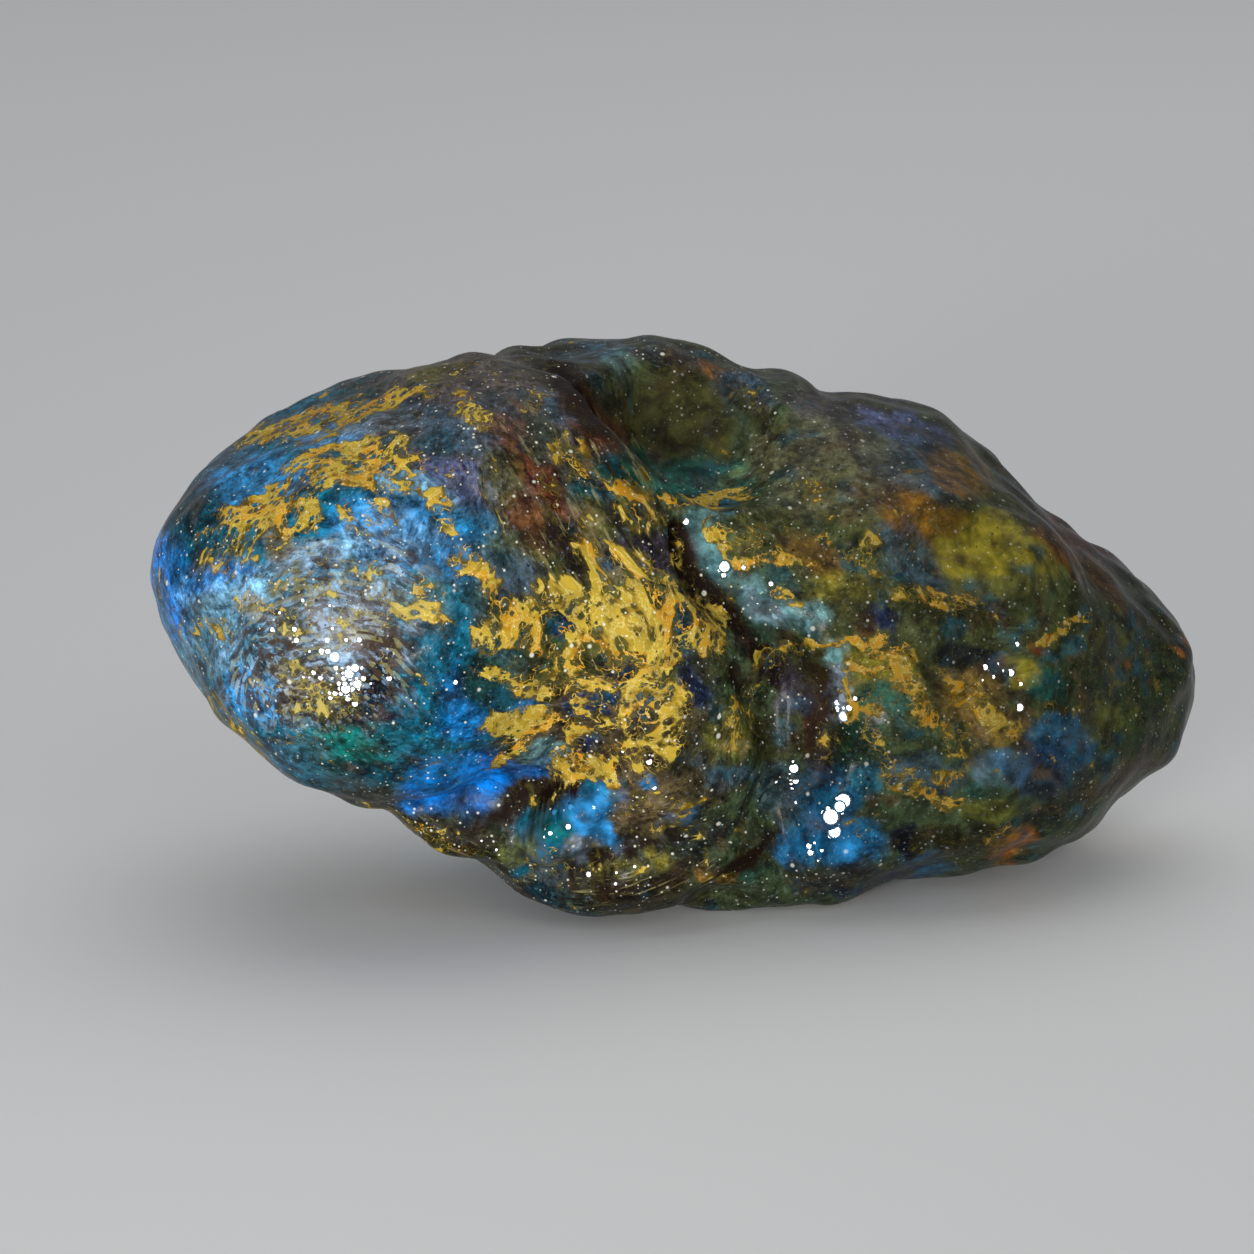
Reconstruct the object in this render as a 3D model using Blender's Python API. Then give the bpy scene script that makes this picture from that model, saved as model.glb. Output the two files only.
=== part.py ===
"""Rough blue amber: one lump of fossil resin, as found, resting on its own worn flats.

Resin ran down, folded over itself and set, so the lump is a union of rounded masses: a big head
that overhangs a keel, a flank that drapes down beside it, and a long shoulder that ends in a
tail.  The creases between the masses are the places where one flow lay against the next.

The shape is one field: it is below zero inside the resin and above zero outside, roughly in
millimetres from the surface.  Every vertex of a sphere primitive is carried along its own ray
until it meets the place where the field is zero.

Frame: metres, +Z up, +X along the lump towards the tail, -Y the side with the crease.  The
origin is the middle of the lump's footprint box, on the surface that it rests on.
"""
import bmesh
import bpy
import numpy as np

# How long the lump is, and how long the shape below is in its own units; at this length a unit
# is a millimetre
LUMP_LENGTH = 0.0700
SHAPE_LENGTH = 70.4
UNIT = LUMP_LENGTH / SHAPE_LENGTH

# Where the middle of the footprint box is in the shape's own units; it becomes the origin
FOOT_MIDDLE = (0.5, -0.1, 0.0)

# The mesh: how often the sphere is divided, the share of triangles kept, and the block that
# levels the underside
SPHERE_DIVISIONS = 6
KEPT_SHARE = 0.475
FLOOR_BLOCK = (0.100, 0.070, 0.010)

# Guide ellipsoid that the rays leave through, and the spine that they start from, in millimetres
GUIDE_CENTRE = (0.0, 0.0, 17.5)
GUIDE_RADII = (36.0, 24.0, 21.0)
SPINE_SHARE = 0.5
SPINE_RISE = (0.0, 5.0, -4.0)
RAY_REACH = (1.45, 0.15)
RAY_SAMPLES = 34
RAY_HALVINGS = 12

# Evening out the mesh: how often, how far apart the field is read for its slope, the least slope
# that is trusted, and how far a vertex may move back to the surface each time
EVEN_ROUNDS = 4
SLOPE_PROBE = 0.05
SLOPE_LEAST = 0.5
RETURN_LIMIT = 0.4

# The rounded masses: centre, radii, tilt about Y in degrees (positive lowers the +X end), and
# the width over which each one melts into the masses before it, all in millimetres
MASSES = {
    "head": ((-17.4, -2.0, 22.1), (17.6, 16.5, 14.0), -14, 0.0),
    "nose": ((-18.5, -9.5, 17.6), (8.0, 8.6, 7.0), -10, 6.0),
    "flank": ((-3.6, -1.5, 17.8), (10.2, 13.8, 17.6), -22, 4.0),
    "keel": ((-4.8, 0.0, 5.8), (16.0, 12.6, 6.0), 13, 2.0),
    "crown": ((-4.0, 8.0, 22.5), (14.4, 11.5, 13.4), 0, 4.0),
    "saddle": ((6.5, 7.0, 21.1), (9.0, 11.0, 12.2), 0, 4.0),
    "shoulder": ((14.5, 5.0, 17.2), (18.0, 14.5, 12.6), 32, 1.5),
    "belly": ((16.5, 4.0, 8.8), (15.0, 12.5, 8.8), -4, 4.0),
    "tail": ((27.8, 8.5, 12.8), (7.6, 9.0, 7.4), 12, 5.0),
    "upper_knuckle": ((15.5, 10.0, 25.6), (5.0, 6.0, 4.8), 25, 4.0),
    "sunlit_swell": ((21.5, 0.0, 21.2), (4.8, 5.2, 4.8), 35, 2.5),
    "knob": ((10.8, -4.0, 7.6), (5.0, 5.9, 7.2), 0, 2.4),
    "bank": ((4.2, -2.8, 23.4), (6.4, 6.6, 4.4), 24, 1.5),
    "pale_ridge": ((8.4, -4.5, 20.2), (6.4, 5.1, 3.8), 42, 2.5),
    "mauve_rib": ((11.2, -5.6, 15.2), (2.2, 3.4, 4.2), 10, 2.0),
    "plate": ((14.6, -4.1, 12.8), (6.6, 6.3, 6.4), 35, 0.6),
    "bubble": ((-7.3, -11.9, 7.8), (3.9, 2.6, 2.0), -36, 0.5),
    "dark_lobe": ((7.8, -5.6, 13.4), (2.6, 3.4, 4.2), 5, 2.0),
    "lip": ((-2.0, -8.6, 4.0), (8.4, 4.2, 2.8), -12, 1.5),
    "left_ledge": ((-12.5, -7.0, 5.6), (7.5, 5.0, 2.2), 28, 1.2),
}

# Hollows taken out of the masses: centre, radii, tilt and edge width
HOLLOWS = {
    "basin": ((2.0, -4.0, 35.6), (8.0, 8.2, 8.6), 6, 0.8),
    "valley": ((19.6, -12.4, 27.2), (6.0, 8.0, 8.0), 30, 1.5),
    "notch": ((3.2, -11.0, 0.8), (2.4, 3.5, 2.2), 0, 1.2),
    "pit": ((15.0, -9.4, 5.6), (1.3, 1.4, 0.9), 0, 0.5),
    "back_scoop": ((6.0, 31.0, 20.0), (17.0, 16.0, 13.0), 15, 2.0),
}

# Worn faces: a point on the face, its outward normal, and how far its edges are rounded
FACES = {
    "brow": ((-25.0, 2.0, 32.4), (-0.40, -0.12, 0.91), 2.5),
    "cheek": ((-29.8, -4.0, 12.3), (-0.75, -0.15, -0.62), 2.5),
    "temple": ((-31.4, -12.0, 25.4), (-0.72, -0.60, 0.34), 2.0),
    "keel_face": ((-16.0, -3.0, 2.8), (-0.50, -0.25, -0.83), 1.0),
    "slope": ((24.6, 6.0, 26.2), (0.64, -0.05, 0.77), 2.5),
    "nape": ((-22.0, 13.0, 24.0), (-0.55, 0.78, 0.30), 3.0),
    "back_foot": ((4.0, 15.5, 6.0), (0.05, 0.80, -0.60), 2.0),
}

# Creases: the points they run through, then half width and depth
CREASES = {
    "main": (
        ((-0.5, -9.0, 26.0), (1.4, -10.5, 23.8), (4.6, -10.0, 20.6), (7.1, -9.5, 17.9), (9.2, -9.4, 16.1),
         (9.2, -9.5, 13.4), (8.9, -9.8, 9.9), (7.1, -10.0, 7.7), (6.7, -10.2, 4.8), (3.7, -11.0, 4.0),
         (2.4, -11.2, 2.4)),
        1.1, 1.9,
    ),
    "basin_wall": (((-8.2, -1.0, 34.6), (-5.6, -3.5, 32.4), (-3.2, -5.5, 29.4), (-0.5, -9.0, 26.0)), 1.3, 0.9),
    "over_the_top": (((2.0, 17.0, 6.0), (-2.0, 19.5, 18.0), (-6.0, 17.0, 27.0), (-9.0, 9.0, 34.5),
                      (-8.2, -1.0, 34.6)), 1.5, 0.4),
    "flank_fold": (((3.6, -11.0, 17.4), (6.2, -9.8, 14.4), (5.8, -10.0, 11.4), (5.2, -10.4, 8.6),
                    (4.4, -11.0, 5.4)), 0.9, 0.8),
    "under_head": (((-22.0, -9.0, 7.0), (-15.5, -12.5, 6.4), (-9.5, -13.5, 8.8), (-6.0, -14.0, 10.4)),
                   0.9, 0.8),
    "under_bubble": (((-11.5, -10.5, 4.6), (-6.5, -12.4, 4.8), (-1.4, -12.3, 7.4), (3.4, -10.0, 6.8)),
                     0.9, 0.6),
    "crack": (((14.6, -9.6, 19.4), (16.2, -9.6, 17.0), (17.9, -9.4, 15.8), (19.4, -9.0, 13.2)), 0.55, 0.7),
}

# Ridges that stand up from the skin: the same, with a height
RIDGES = {
    "basin_rim": (((-1.5, -8.0, 27.1), (1.5, -8.0, 27.1), (3.7, -7.4, 27.7), (5.4, -6.0, 28.6)), 0.8, 0.5),
    "plate_edge": (((9.4, -9.4, 19.2), (14.4, -9.6, 19.2), (15.8, -9.6, 16.8), (17.6, -9.4, 15.6)), 0.6, 0.4),
}

# Sway bends every mass, face and crease a little: wavelength, reach and seed, in millimetres.
# Relief is what weather left on the skin: the same, pushed straight out or in.
SWAY = ((13.0, 0.30, 3), (5.5, 0.14, 8))
RELIEF = ((6.5, 0.13, 21), (3.0, 0.08, 34))
WAVES = 14


def waves(points, wavelength, seed, outputs):
    """A random but fixed ripple: each output is a weighted sum of WAVES sines that run in
    scattered directions, scaled so that it mostly stays between -1 and 1."""
    random = np.random.default_rng(seed)
    heading = random.normal(size=(3, WAVES))
    heading *= random.uniform(0.7, 1.4, WAVES) / np.linalg.norm(heading, axis=0)
    phase = random.uniform(0.0, 2.0 * np.pi, WAVES)
    weight = random.normal(size=(WAVES, outputs))
    weight /= np.linalg.norm(weight, axis=0)
    return np.sin(points @ heading * (2.0 * np.pi / wavelength) + phase) @ weight


def ellipsoid_distance(points, centre, radii, tilt):
    """Distance to a tilted ellipsoid, close to true near its surface: with q the point divided by
    the radii and r the point divided by their squares, it is |q| (|q| - 1) / |r|."""
    angle = np.radians(tilt)
    across = points - np.array(centre)
    x = across[:, 0] * np.cos(angle) - across[:, 2] * np.sin(angle)
    z = across[:, 0] * np.sin(angle) + across[:, 2] * np.cos(angle)
    local = np.stack([x, across[:, 1], z], axis=1)
    once = np.linalg.norm(local / np.array(radii), axis=1)
    twice = np.linalg.norm(local / np.array(radii) ** 2, axis=1)
    return once * (once - 1.0) / np.maximum(twice, 1e-9)


def melt(first, second, width):
    """The lower of two fields, rounded where they are within width of each other."""
    if width <= 0:
        return np.minimum(first, second)
    near = np.maximum(width - np.abs(first - second), 0.0) / width
    return np.minimum(first, second) - near * near * width / 4.0


def crease_depth(points, path, half_width, depth):
    """How far a crease cuts in: a bell curve over the distance to the nearest stretch of its path."""
    path = np.array(path)
    nearest = np.full(len(points), np.inf)
    for start, end in zip(path[:-1], path[1:]):
        run = end - start
        share = np.clip((points - start) @ run / (run @ run), 0.0, 1.0)
        gap = points - start - share[:, None] * run
        nearest = np.minimum(nearest, np.einsum("ij,ij->i", gap, gap))
    return depth * np.exp(-nearest / half_width ** 2)


def resin_field(points):
    for wavelength, reach, seed in SWAY:
        points = points + reach * waves(points, wavelength, seed, 3)
    field = np.full(len(points), np.inf)
    for centre, radii, tilt, width in MASSES.values():
        distance = ellipsoid_distance(points, centre, radii, tilt)
        field = distance if np.isinf(field[0]) else melt(field, distance, width)
    for centre, radii, tilt, width in HOLLOWS.values():
        field = -melt(-field, ellipsoid_distance(points, centre, radii, tilt), width)
    for point, normal, width in FACES.values():
        across = (points - np.array(point)) @ (np.array(normal) / np.linalg.norm(normal))
        field = -melt(-field, -across, width)
    cut = np.zeros(len(points))
    for path, half_width, depth in CREASES.values():
        cut = np.maximum(cut, crease_depth(points, path, half_width, depth))
    rise = np.zeros(len(points))
    for path, half_width, height in RIDGES.values():
        rise = np.maximum(rise, crease_depth(points, path, half_width, height))
    field = field + cut - rise
    for wavelength, height, seed in RELIEF:
        field = field - height * waves(points, wavelength, seed, 1)[:, 0]
    return field


def rays(directions):
    """Start and step of the ray for each unit direction, from the spine through the guide."""
    along = directions[:, :1]
    start = np.array(GUIDE_CENTRE) + along * SPINE_SHARE * (
        np.array([GUIDE_RADII[0], 0.0, 0.0]) + np.array(SPINE_RISE)
    )
    return start, np.array(GUIDE_CENTRE) + directions * np.array(GUIDE_RADII) - start


def surface_points(directions):
    """Walks each ray inwards to the first sample inside the resin, then halves the gap."""
    start, step = rays(directions)
    samples = np.linspace(*RAY_REACH, RAY_SAMPLES)
    inside = np.full(len(directions), samples[-1])
    found = np.zeros(len(directions), bool)
    for sample in samples:
        left = np.flatnonzero(~found)
        if len(left) == 0:
            break
        hit = left[resin_field(start[left] + sample * step[left]) < 0.0]
        inside[hit] = sample
        found[hit] = True
    outside = inside + (samples[0] - samples[1])
    for _ in range(RAY_HALVINGS):
        middle = (inside + outside) / 2.0
        deep = resin_field(start + middle[:, None] * step) < 0.0
        inside = np.where(deep, middle, inside)
        outside = np.where(deep, outside, middle)
    return start + inside[:, None] * step


def back_on_surface(points):
    """Moves each point along the slope of the field by the field's value there, so that points
    near the surface land on it."""
    here = resin_field(points)
    probes = np.eye(3) * SLOPE_PROBE
    slope = np.stack([resin_field(points + probe) - here for probe in probes], axis=1) / SLOPE_PROBE
    steepness = np.maximum(np.linalg.norm(slope, axis=1), SLOPE_LEAST)
    travel = np.clip(here / steepness, -RETURN_LIMIT, RETURN_LIMIT)
    return points - (travel / steepness)[:, None] * slope


def evened_out(points, edges):
    """Moves each vertex half way to the middle of its neighbours and back onto the surface, so
    that walls that lie almost along the rays get their share of the mesh."""
    neighbours = np.bincount(edges.ravel())[:, None]
    for _ in range(EVEN_ROUNDS):
        total = np.zeros_like(points)
        np.add.at(total, edges[:, 0], points[edges[:, 1]])
        np.add.at(total, edges[:, 1], points[edges[:, 0]])
        points = back_on_surface((points + total / neighbours) / 2.0)
    return points


def clear_scene():
    for obj in list(bpy.data.objects):
        bpy.data.objects.remove(obj, do_unlink=True)


def amber_material():
    material = bpy.data.materials.new("blue_amber")
    material.use_nodes = True
    shader = material.node_tree.nodes["Principled BSDF"]
    shader.inputs["Base Color"].default_value = (0.08, 0.17, 0.22, 1.0)
    shader.inputs["Roughness"].default_value = 0.35
    shader.inputs["Metallic"].default_value = 0.0
    return material


def make_lump(collection):
    mesh = bpy.data.meshes.new("amber")
    ball = bmesh.new()
    bmesh.ops.create_icosphere(ball, subdivisions=SPHERE_DIVISIONS, radius=1.0)
    ball.to_mesh(mesh)
    ball.free()
    directions = np.empty(len(mesh.vertices) * 3)
    mesh.vertices.foreach_get("co", directions)
    edges = np.empty(len(mesh.edges) * 2, dtype=np.int32)
    mesh.edges.foreach_get("vertices", edges)
    points = evened_out(surface_points(directions.reshape(-1, 3)), edges.reshape(-1, 2))
    points = (points - np.array(FOOT_MIDDLE)) * UNIT
    mesh.vertices.foreach_set("co", points.ravel())
    mesh.update()
    lump = bpy.data.objects.new("amber", mesh)
    lump.data.materials.append(amber_material())
    collection.objects.link(lump)
    return lump


def floor_block(collection):
    """A guide that is never part of the lump: its top face is the surface the lump rests on."""
    bpy.ops.mesh.primitive_cube_add(size=1.0, location=(0.0, 0.0, -FLOOR_BLOCK[2] / 2.0))
    block = bpy.context.object
    block.name = "floor_block"
    block.scale = FLOOR_BLOCK
    for owner in list(block.users_collection):
        owner.objects.unlink(block)
    collection.objects.link(block)
    block.hide_render = True
    block.display_type = "WIRE"
    return block


def main():
    clear_scene()
    scene = bpy.context.scene
    resin = bpy.data.collections.new("rough_blue_amber")
    guides = bpy.data.collections.new("guides")
    scene.collection.children.link(resin)
    scene.collection.children.link(guides)
    lump = make_lump(resin)
    lump.data.shade_smooth()
    fewer = lump.modifiers.new("fewer_triangles", "DECIMATE")
    fewer.ratio = KEPT_SHARE
    level = lump.modifiers.new("level_underside", "BOOLEAN")
    level.operation = "DIFFERENCE"
    level.solver = "EXACT"
    level.object = floor_block(guides)


main()
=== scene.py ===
# %% [markdown]
# Rough blue amber: dressing a lump of fossil resin
#
# Blue amber is tree resin that ran down a trunk, folded over itself and turned to stone.  Dug up
# rough, it is not clear.  Its skin is a cloudy mottle of blue, teal, olive and brown, under a
# thin lace of ochre crust, with pale specks, dark pits and a wet gloss.
#
# The packed model gives the lump's size and main shape as a plain solid.  This lesson makes the
# same shape again on a finer grid, paints its colours and adds what is too small to model.

# %% Load the frame
import itertools

import bpy
import numpy as np
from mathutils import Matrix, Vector


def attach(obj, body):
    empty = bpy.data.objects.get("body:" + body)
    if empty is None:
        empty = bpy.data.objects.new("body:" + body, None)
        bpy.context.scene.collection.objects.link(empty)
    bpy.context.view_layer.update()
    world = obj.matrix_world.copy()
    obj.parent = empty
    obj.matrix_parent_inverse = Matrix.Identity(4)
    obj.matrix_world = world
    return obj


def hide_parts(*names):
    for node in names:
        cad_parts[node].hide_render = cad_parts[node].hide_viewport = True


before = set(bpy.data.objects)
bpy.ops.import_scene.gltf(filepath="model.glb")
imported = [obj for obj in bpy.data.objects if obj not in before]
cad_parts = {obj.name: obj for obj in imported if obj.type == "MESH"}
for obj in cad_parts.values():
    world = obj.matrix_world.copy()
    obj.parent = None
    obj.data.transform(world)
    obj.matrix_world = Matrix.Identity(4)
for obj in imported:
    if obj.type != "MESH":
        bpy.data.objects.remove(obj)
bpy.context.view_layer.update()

# %% [markdown]
# The lump's shape is one field: a number for every place in space, below zero inside the resin
# and above zero outside.  A field is a good way to build what flowed, because two masses melt
# together by blending two numbers, with no cutting or joining of meshes.  The tables below are
# written in shape units, and a lump of this length makes one unit almost exactly a millimetre.

# %% Set the unit and the place
LUMP_LENGTH = 0.0700
SHAPE_LENGTH = 70.4
UNIT = LUMP_LENGTH / SHAPE_LENGTH
FOOT_MIDDLE = np.array([0.5, -0.1, 0.0])
print("one shape unit is", round(UNIT * 1000, 4), "mm")

# %% [markdown]
# First come the rounded masses.  Each one is a tilted ellipsoid: its centre, its three radii, its
# tilt about Y in degrees, and the width over which it melts into the masses before it.

# %% List the masses
MASSES = {
    "head": ((-17.4, -2.0, 22.1), (17.6, 16.5, 14.0), -14, 0.0),
    "nose": ((-18.5, -9.5, 17.6), (8.0, 8.6, 7.0), -10, 6.0),
    "flank": ((-3.6, -1.5, 17.8), (10.2, 13.8, 17.6), -22, 4.0),
    "keel": ((-4.8, 0.0, 5.8), (16.0, 12.6, 6.0), 13, 2.0),
    "crown": ((-4.0, 8.0, 22.5), (14.4, 11.5, 13.4), 0, 4.0),
    "saddle": ((6.5, 7.0, 21.1), (9.0, 11.0, 12.2), 0, 4.0),
    "shoulder": ((14.5, 5.0, 17.2), (18.0, 14.5, 12.6), 32, 1.5),
    "belly": ((16.5, 4.0, 8.8), (15.0, 12.5, 8.8), -4, 4.0),
    "tail": ((27.8, 8.5, 12.8), (7.6, 9.0, 7.4), 12, 5.0),
    "upper_knuckle": ((15.5, 10.0, 25.6), (5.0, 6.0, 4.8), 25, 4.0),
    "sunlit_swell": ((21.5, 0.0, 21.2), (4.8, 5.2, 4.8), 35, 2.5),
    "knob": ((10.8, -4.0, 7.6), (5.0, 5.9, 7.2), 0, 2.4),
    "bank": ((4.2, -2.8, 23.4), (6.4, 6.6, 4.4), 24, 1.5),
    "pale_ridge": ((8.4, -4.5, 20.2), (6.4, 5.1, 3.8), 42, 2.5),
    "mauve_rib": ((11.2, -5.6, 15.2), (2.2, 3.4, 4.2), 10, 2.0),
    "plate": ((14.6, -4.1, 12.8), (6.6, 6.3, 6.4), 35, 0.6),
    "bubble": ((-7.3, -11.9, 7.8), (3.9, 2.6, 2.0), -36, 0.5),
    "dark_lobe": ((7.8, -5.6, 13.4), (2.6, 3.4, 4.2), 5, 2.0),
    "lip": ((-2.0, -8.6, 4.0), (8.4, 4.2, 2.8), -12, 1.5),
    "left_ledge": ((-12.5, -7.0, 5.6), (7.5, 5.0, 2.2), 28, 1.2),
}
print(len(MASSES), "rounded masses")

# %% [markdown]
# Hollows are taken out of the masses, worn faces are planed off them, creases are cut where one
# flow lay against the next, and two ridges stand up.  A crease or a ridge is a path of listed
# points, with its half width and its depth or height.

# %% List the hollows, faces, creases and ridges
HOLLOWS = {
    "basin": ((2.0, -4.0, 35.6), (8.0, 8.2, 8.6), 6, 0.8),
    "valley": ((19.6, -12.4, 27.2), (6.0, 8.0, 8.0), 30, 1.5),
    "notch": ((3.2, -11.0, 0.8), (2.4, 3.5, 2.2), 0, 1.2),
    "pit": ((15.0, -9.4, 5.6), (1.3, 1.4, 0.9), 0, 0.5),
    "back_scoop": ((6.0, 31.0, 20.0), (17.0, 16.0, 13.0), 15, 2.0),
}
FACES = {
    "brow": ((-25.0, 2.0, 32.4), (-0.40, -0.12, 0.91), 2.5),
    "cheek": ((-29.8, -4.0, 12.3), (-0.75, -0.15, -0.62), 2.5),
    "temple": ((-31.4, -12.0, 25.4), (-0.72, -0.60, 0.34), 2.0),
    "keel_face": ((-16.0, -3.0, 2.8), (-0.50, -0.25, -0.83), 1.0),
    "slope": ((24.6, 6.0, 26.2), (0.64, -0.05, 0.77), 2.5),
    "nape": ((-22.0, 13.0, 24.0), (-0.55, 0.78, 0.30), 3.0),
    "back_foot": ((4.0, 15.5, 6.0), (0.05, 0.80, -0.60), 2.0),
}
CREASES = {
    "main": (((-0.5, -9.0, 26.0), (1.4, -10.5, 23.8), (4.6, -10.0, 20.6), (7.1, -9.5, 17.9),
              (9.2, -9.4, 16.1), (9.2, -9.5, 13.4), (8.9, -9.8, 9.9), (7.1, -10.0, 7.7),
              (6.7, -10.2, 4.8), (3.7, -11.0, 4.0), (2.4, -11.2, 2.4)), 1.1, 1.9),
    "basin_wall": (((-8.2, -1.0, 34.6), (-5.6, -3.5, 32.4), (-3.2, -5.5, 29.4), (-0.5, -9.0, 26.0)),
                   1.3, 0.9),
    "over_the_top": (((2.0, 17.0, 6.0), (-2.0, 19.5, 18.0), (-6.0, 17.0, 27.0), (-9.0, 9.0, 34.5),
                      (-8.2, -1.0, 34.6)), 1.5, 0.4),
    "flank_fold": (((3.6, -11.0, 17.4), (6.2, -9.8, 14.4), (5.8, -10.0, 11.4), (5.2, -10.4, 8.6),
                    (4.4, -11.0, 5.4)), 0.9, 0.8),
    "under_head": (((-22.0, -9.0, 7.0), (-15.5, -12.5, 6.4), (-9.5, -13.5, 8.8),
                    (-6.0, -14.0, 10.4)), 0.9, 0.8),
    "under_bubble": (((-11.5, -10.5, 4.6), (-6.5, -12.4, 4.8), (-1.4, -12.3, 7.4),
                      (3.4, -10.0, 6.8)), 0.9, 0.6),
    "crack": (((14.6, -9.6, 19.4), (16.2, -9.6, 17.0), (17.9, -9.4, 15.8), (19.4, -9.0, 13.2)),
              0.55, 0.7),
}
RIDGES = {
    "basin_rim": (((-1.5, -8.0, 27.1), (1.5, -8.0, 27.1), (3.7, -7.4, 27.7), (5.4, -6.0, 28.6)),
                  0.8, 0.5),
    "plate_edge": (((9.4, -9.4, 19.2), (14.4, -9.6, 19.2), (15.8, -9.6, 16.8), (17.6, -9.4, 15.6)),
                   0.6, 0.4),
}
print(len(HOLLOWS), "hollows,", len(FACES), "worn faces,", len(CREASES), "creases,",
      len(RIDGES), "ridges")

# %% [markdown]
# Nothing that flowed and weathered is exact.  Sway bends every mass and crease a little, and relief
# pushes the skin in and out.  Both are sums of sine waves with scattered headings, which are cheap
# on whole arrays.  Each is listed with its wavelength, its reach and the seed of its random
# numbers, and the seed makes it the same on every run.

# %% Ripple a field with sums of sines
SWAY = ((13.0, 0.30, 3), (5.5, 0.14, 8))
RELIEF = ((6.5, 0.13, 21), (3.0, 0.08, 34))
WAVES = 14
HEADING_LENGTHS = (0.7, 1.4)


def waves(points, wavelength, seed, outputs):
    """Each output is a weighted sum of sines of (point . heading) * 2 pi / wavelength + phase,
    scaled so that it mostly stays between -1 and 1."""
    random = np.random.default_rng(seed)
    heading = random.normal(size=(3, WAVES))
    heading *= random.uniform(*HEADING_LENGTHS, WAVES) / np.linalg.norm(heading, axis=0)
    phase = random.uniform(0.0, 2.0 * np.pi, WAVES)
    weight = random.normal(size=(WAVES, outputs))
    weight /= np.linalg.norm(weight, axis=0)
    return np.sin(points @ heading * (2.0 * np.pi / wavelength) + phase) @ weight


print("ripple at the origin:", waves(np.zeros((1, 3)), 13.0, 3, 3).round(3))

# %% [markdown]
# Three small functions help to build the field: the distance to a tilted ellipsoid, a minimum with
# a rounded corner, which is what makes two masses look melted together, and a bell curve over the
# distance to a path.

# %% Measure distances and melt them together
BELL_REACH = 3.0
TINY = 1e-9


def ellipsoid_distance(points, centre, radii, tilt):
    """With q the point divided by the radii and r the point divided by their squares, the distance
    is |q| (|q| - 1) / |r|, which is close to true near the surface."""
    angle = np.radians(tilt)
    across = points - np.array(centre)
    x = across[:, 0] * np.cos(angle) - across[:, 2] * np.sin(angle)
    z = across[:, 0] * np.sin(angle) + across[:, 2] * np.cos(angle)
    local = np.stack([x, across[:, 1], z], axis=1)
    once = np.linalg.norm(local / np.array(radii), axis=1)
    twice = np.linalg.norm(local / np.array(radii) ** 2, axis=1)
    return once * (once - 1.0) / np.maximum(twice, TINY)


def melt(first, second, width):
    """The lower of two fields, less a quarter of width times the square of how near they are."""
    if width <= 0:
        return np.minimum(first, second)
    near = np.maximum(width - np.abs(first - second), 0.0) / width
    return np.minimum(first, second) - near * near * width / 4.0


def along_path(points, path, half_width, height):
    """height * exp(-(distance to the nearest stretch of the path)^2 / half_width^2), and nothing
    outside a box round the path, where the curve has died away."""
    path = np.array(path)
    margin = BELL_REACH * half_width
    inside = (points > path.min(axis=0) - margin) & (points < path.max(axis=0) + margin)
    close = np.flatnonzero(inside.all(axis=1))
    nearest = np.full(len(close), np.inf)
    for start, end in zip(path[:-1], path[1:]):
        run = end - start
        offset = points[close] - start
        share = np.clip(offset @ run / (run @ run), 0.0, 1.0)
        gap = offset - share[:, None] * run
        nearest = np.minimum(nearest, np.einsum("ij,ij->i", gap, gap))
    result = np.zeros(len(points))
    result[close] = height * np.exp(-nearest / half_width ** 2)
    return result


origin = np.zeros((1, 3))
head_gap = ellipsoid_distance(origin, *MASSES["head"][:3])
print("from the origin to the head:", head_gap.round(2), "units")

# %% [markdown]
# The field is a chain of those steps.  The masses are melted together one after the other.  Taking
# a hollow away is a melt as well, with both signs turned round, and so is planing off a face.  The
# creases are added, the ridges and the relief are taken away, because less field is more resin.

# %% Define the field
def deepest(points, paths):
    """The greatest of the bell curves along all the paths."""
    result = np.zeros(len(points))
    for path, half_width, height in paths.values():
        result = np.maximum(result, along_path(points, path, half_width, height))
    return result


def swayed(points):
    for wavelength, reach, seed in SWAY:
        points = points + reach * waves(points, wavelength, seed, 3)
    return points


def resin_field(points):
    """Masses melted together, less hollows and worn faces, plus creases, less ridges and relief."""
    points = swayed(points)
    field = np.full(len(points), np.inf)
    for centre, radii, tilt, width in MASSES.values():
        field = melt(field, ellipsoid_distance(points, centre, radii, tilt), width)
    for centre, radii, tilt, width in HOLLOWS.values():
        field = -melt(-field, ellipsoid_distance(points, centre, radii, tilt), width)
    for point, normal, width in FACES.values():
        across = (points - np.array(point)) @ (np.array(normal) / np.linalg.norm(normal))
        field = -melt(-field, -across, width)
    field = field + deepest(points, CREASES) - deepest(points, RIDGES)
    for wavelength, height, seed in RELIEF:
        field = field - height * waves(points, wavelength, seed, 1)[:, 0]
    return field


print("field in the middle of the head:", resin_field(origin + MASSES["head"][0]).round(2))

# %% [markdown]
# The skin is a function of two angles, as on a globe with its poles at the lump's two ends.  Each
# pair of angles gives a ray from a spine inside the lump out through a guide ellipsoid.  The ray
# starts outside and walks inwards.  The field is nearly a distance, so a step of most of its value
# is never too long, and fourteen such steps end on the skin.

# %% Find the skin along a grid of rays
ROWS = 272
COLUMNS = 304
GUIDE_CENTRE = np.array([0.0, 0.0, 17.5])
GUIDE_RADII = np.array([36.0, 24.0, 21.0])
SPINE_SHARE = 0.5
SPINE_RISE = np.array([0.0, 5.0, -4.0])
RAY_START = 1.45
RAY_STEPS = 14
STEP_SHARE = 0.9


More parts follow.
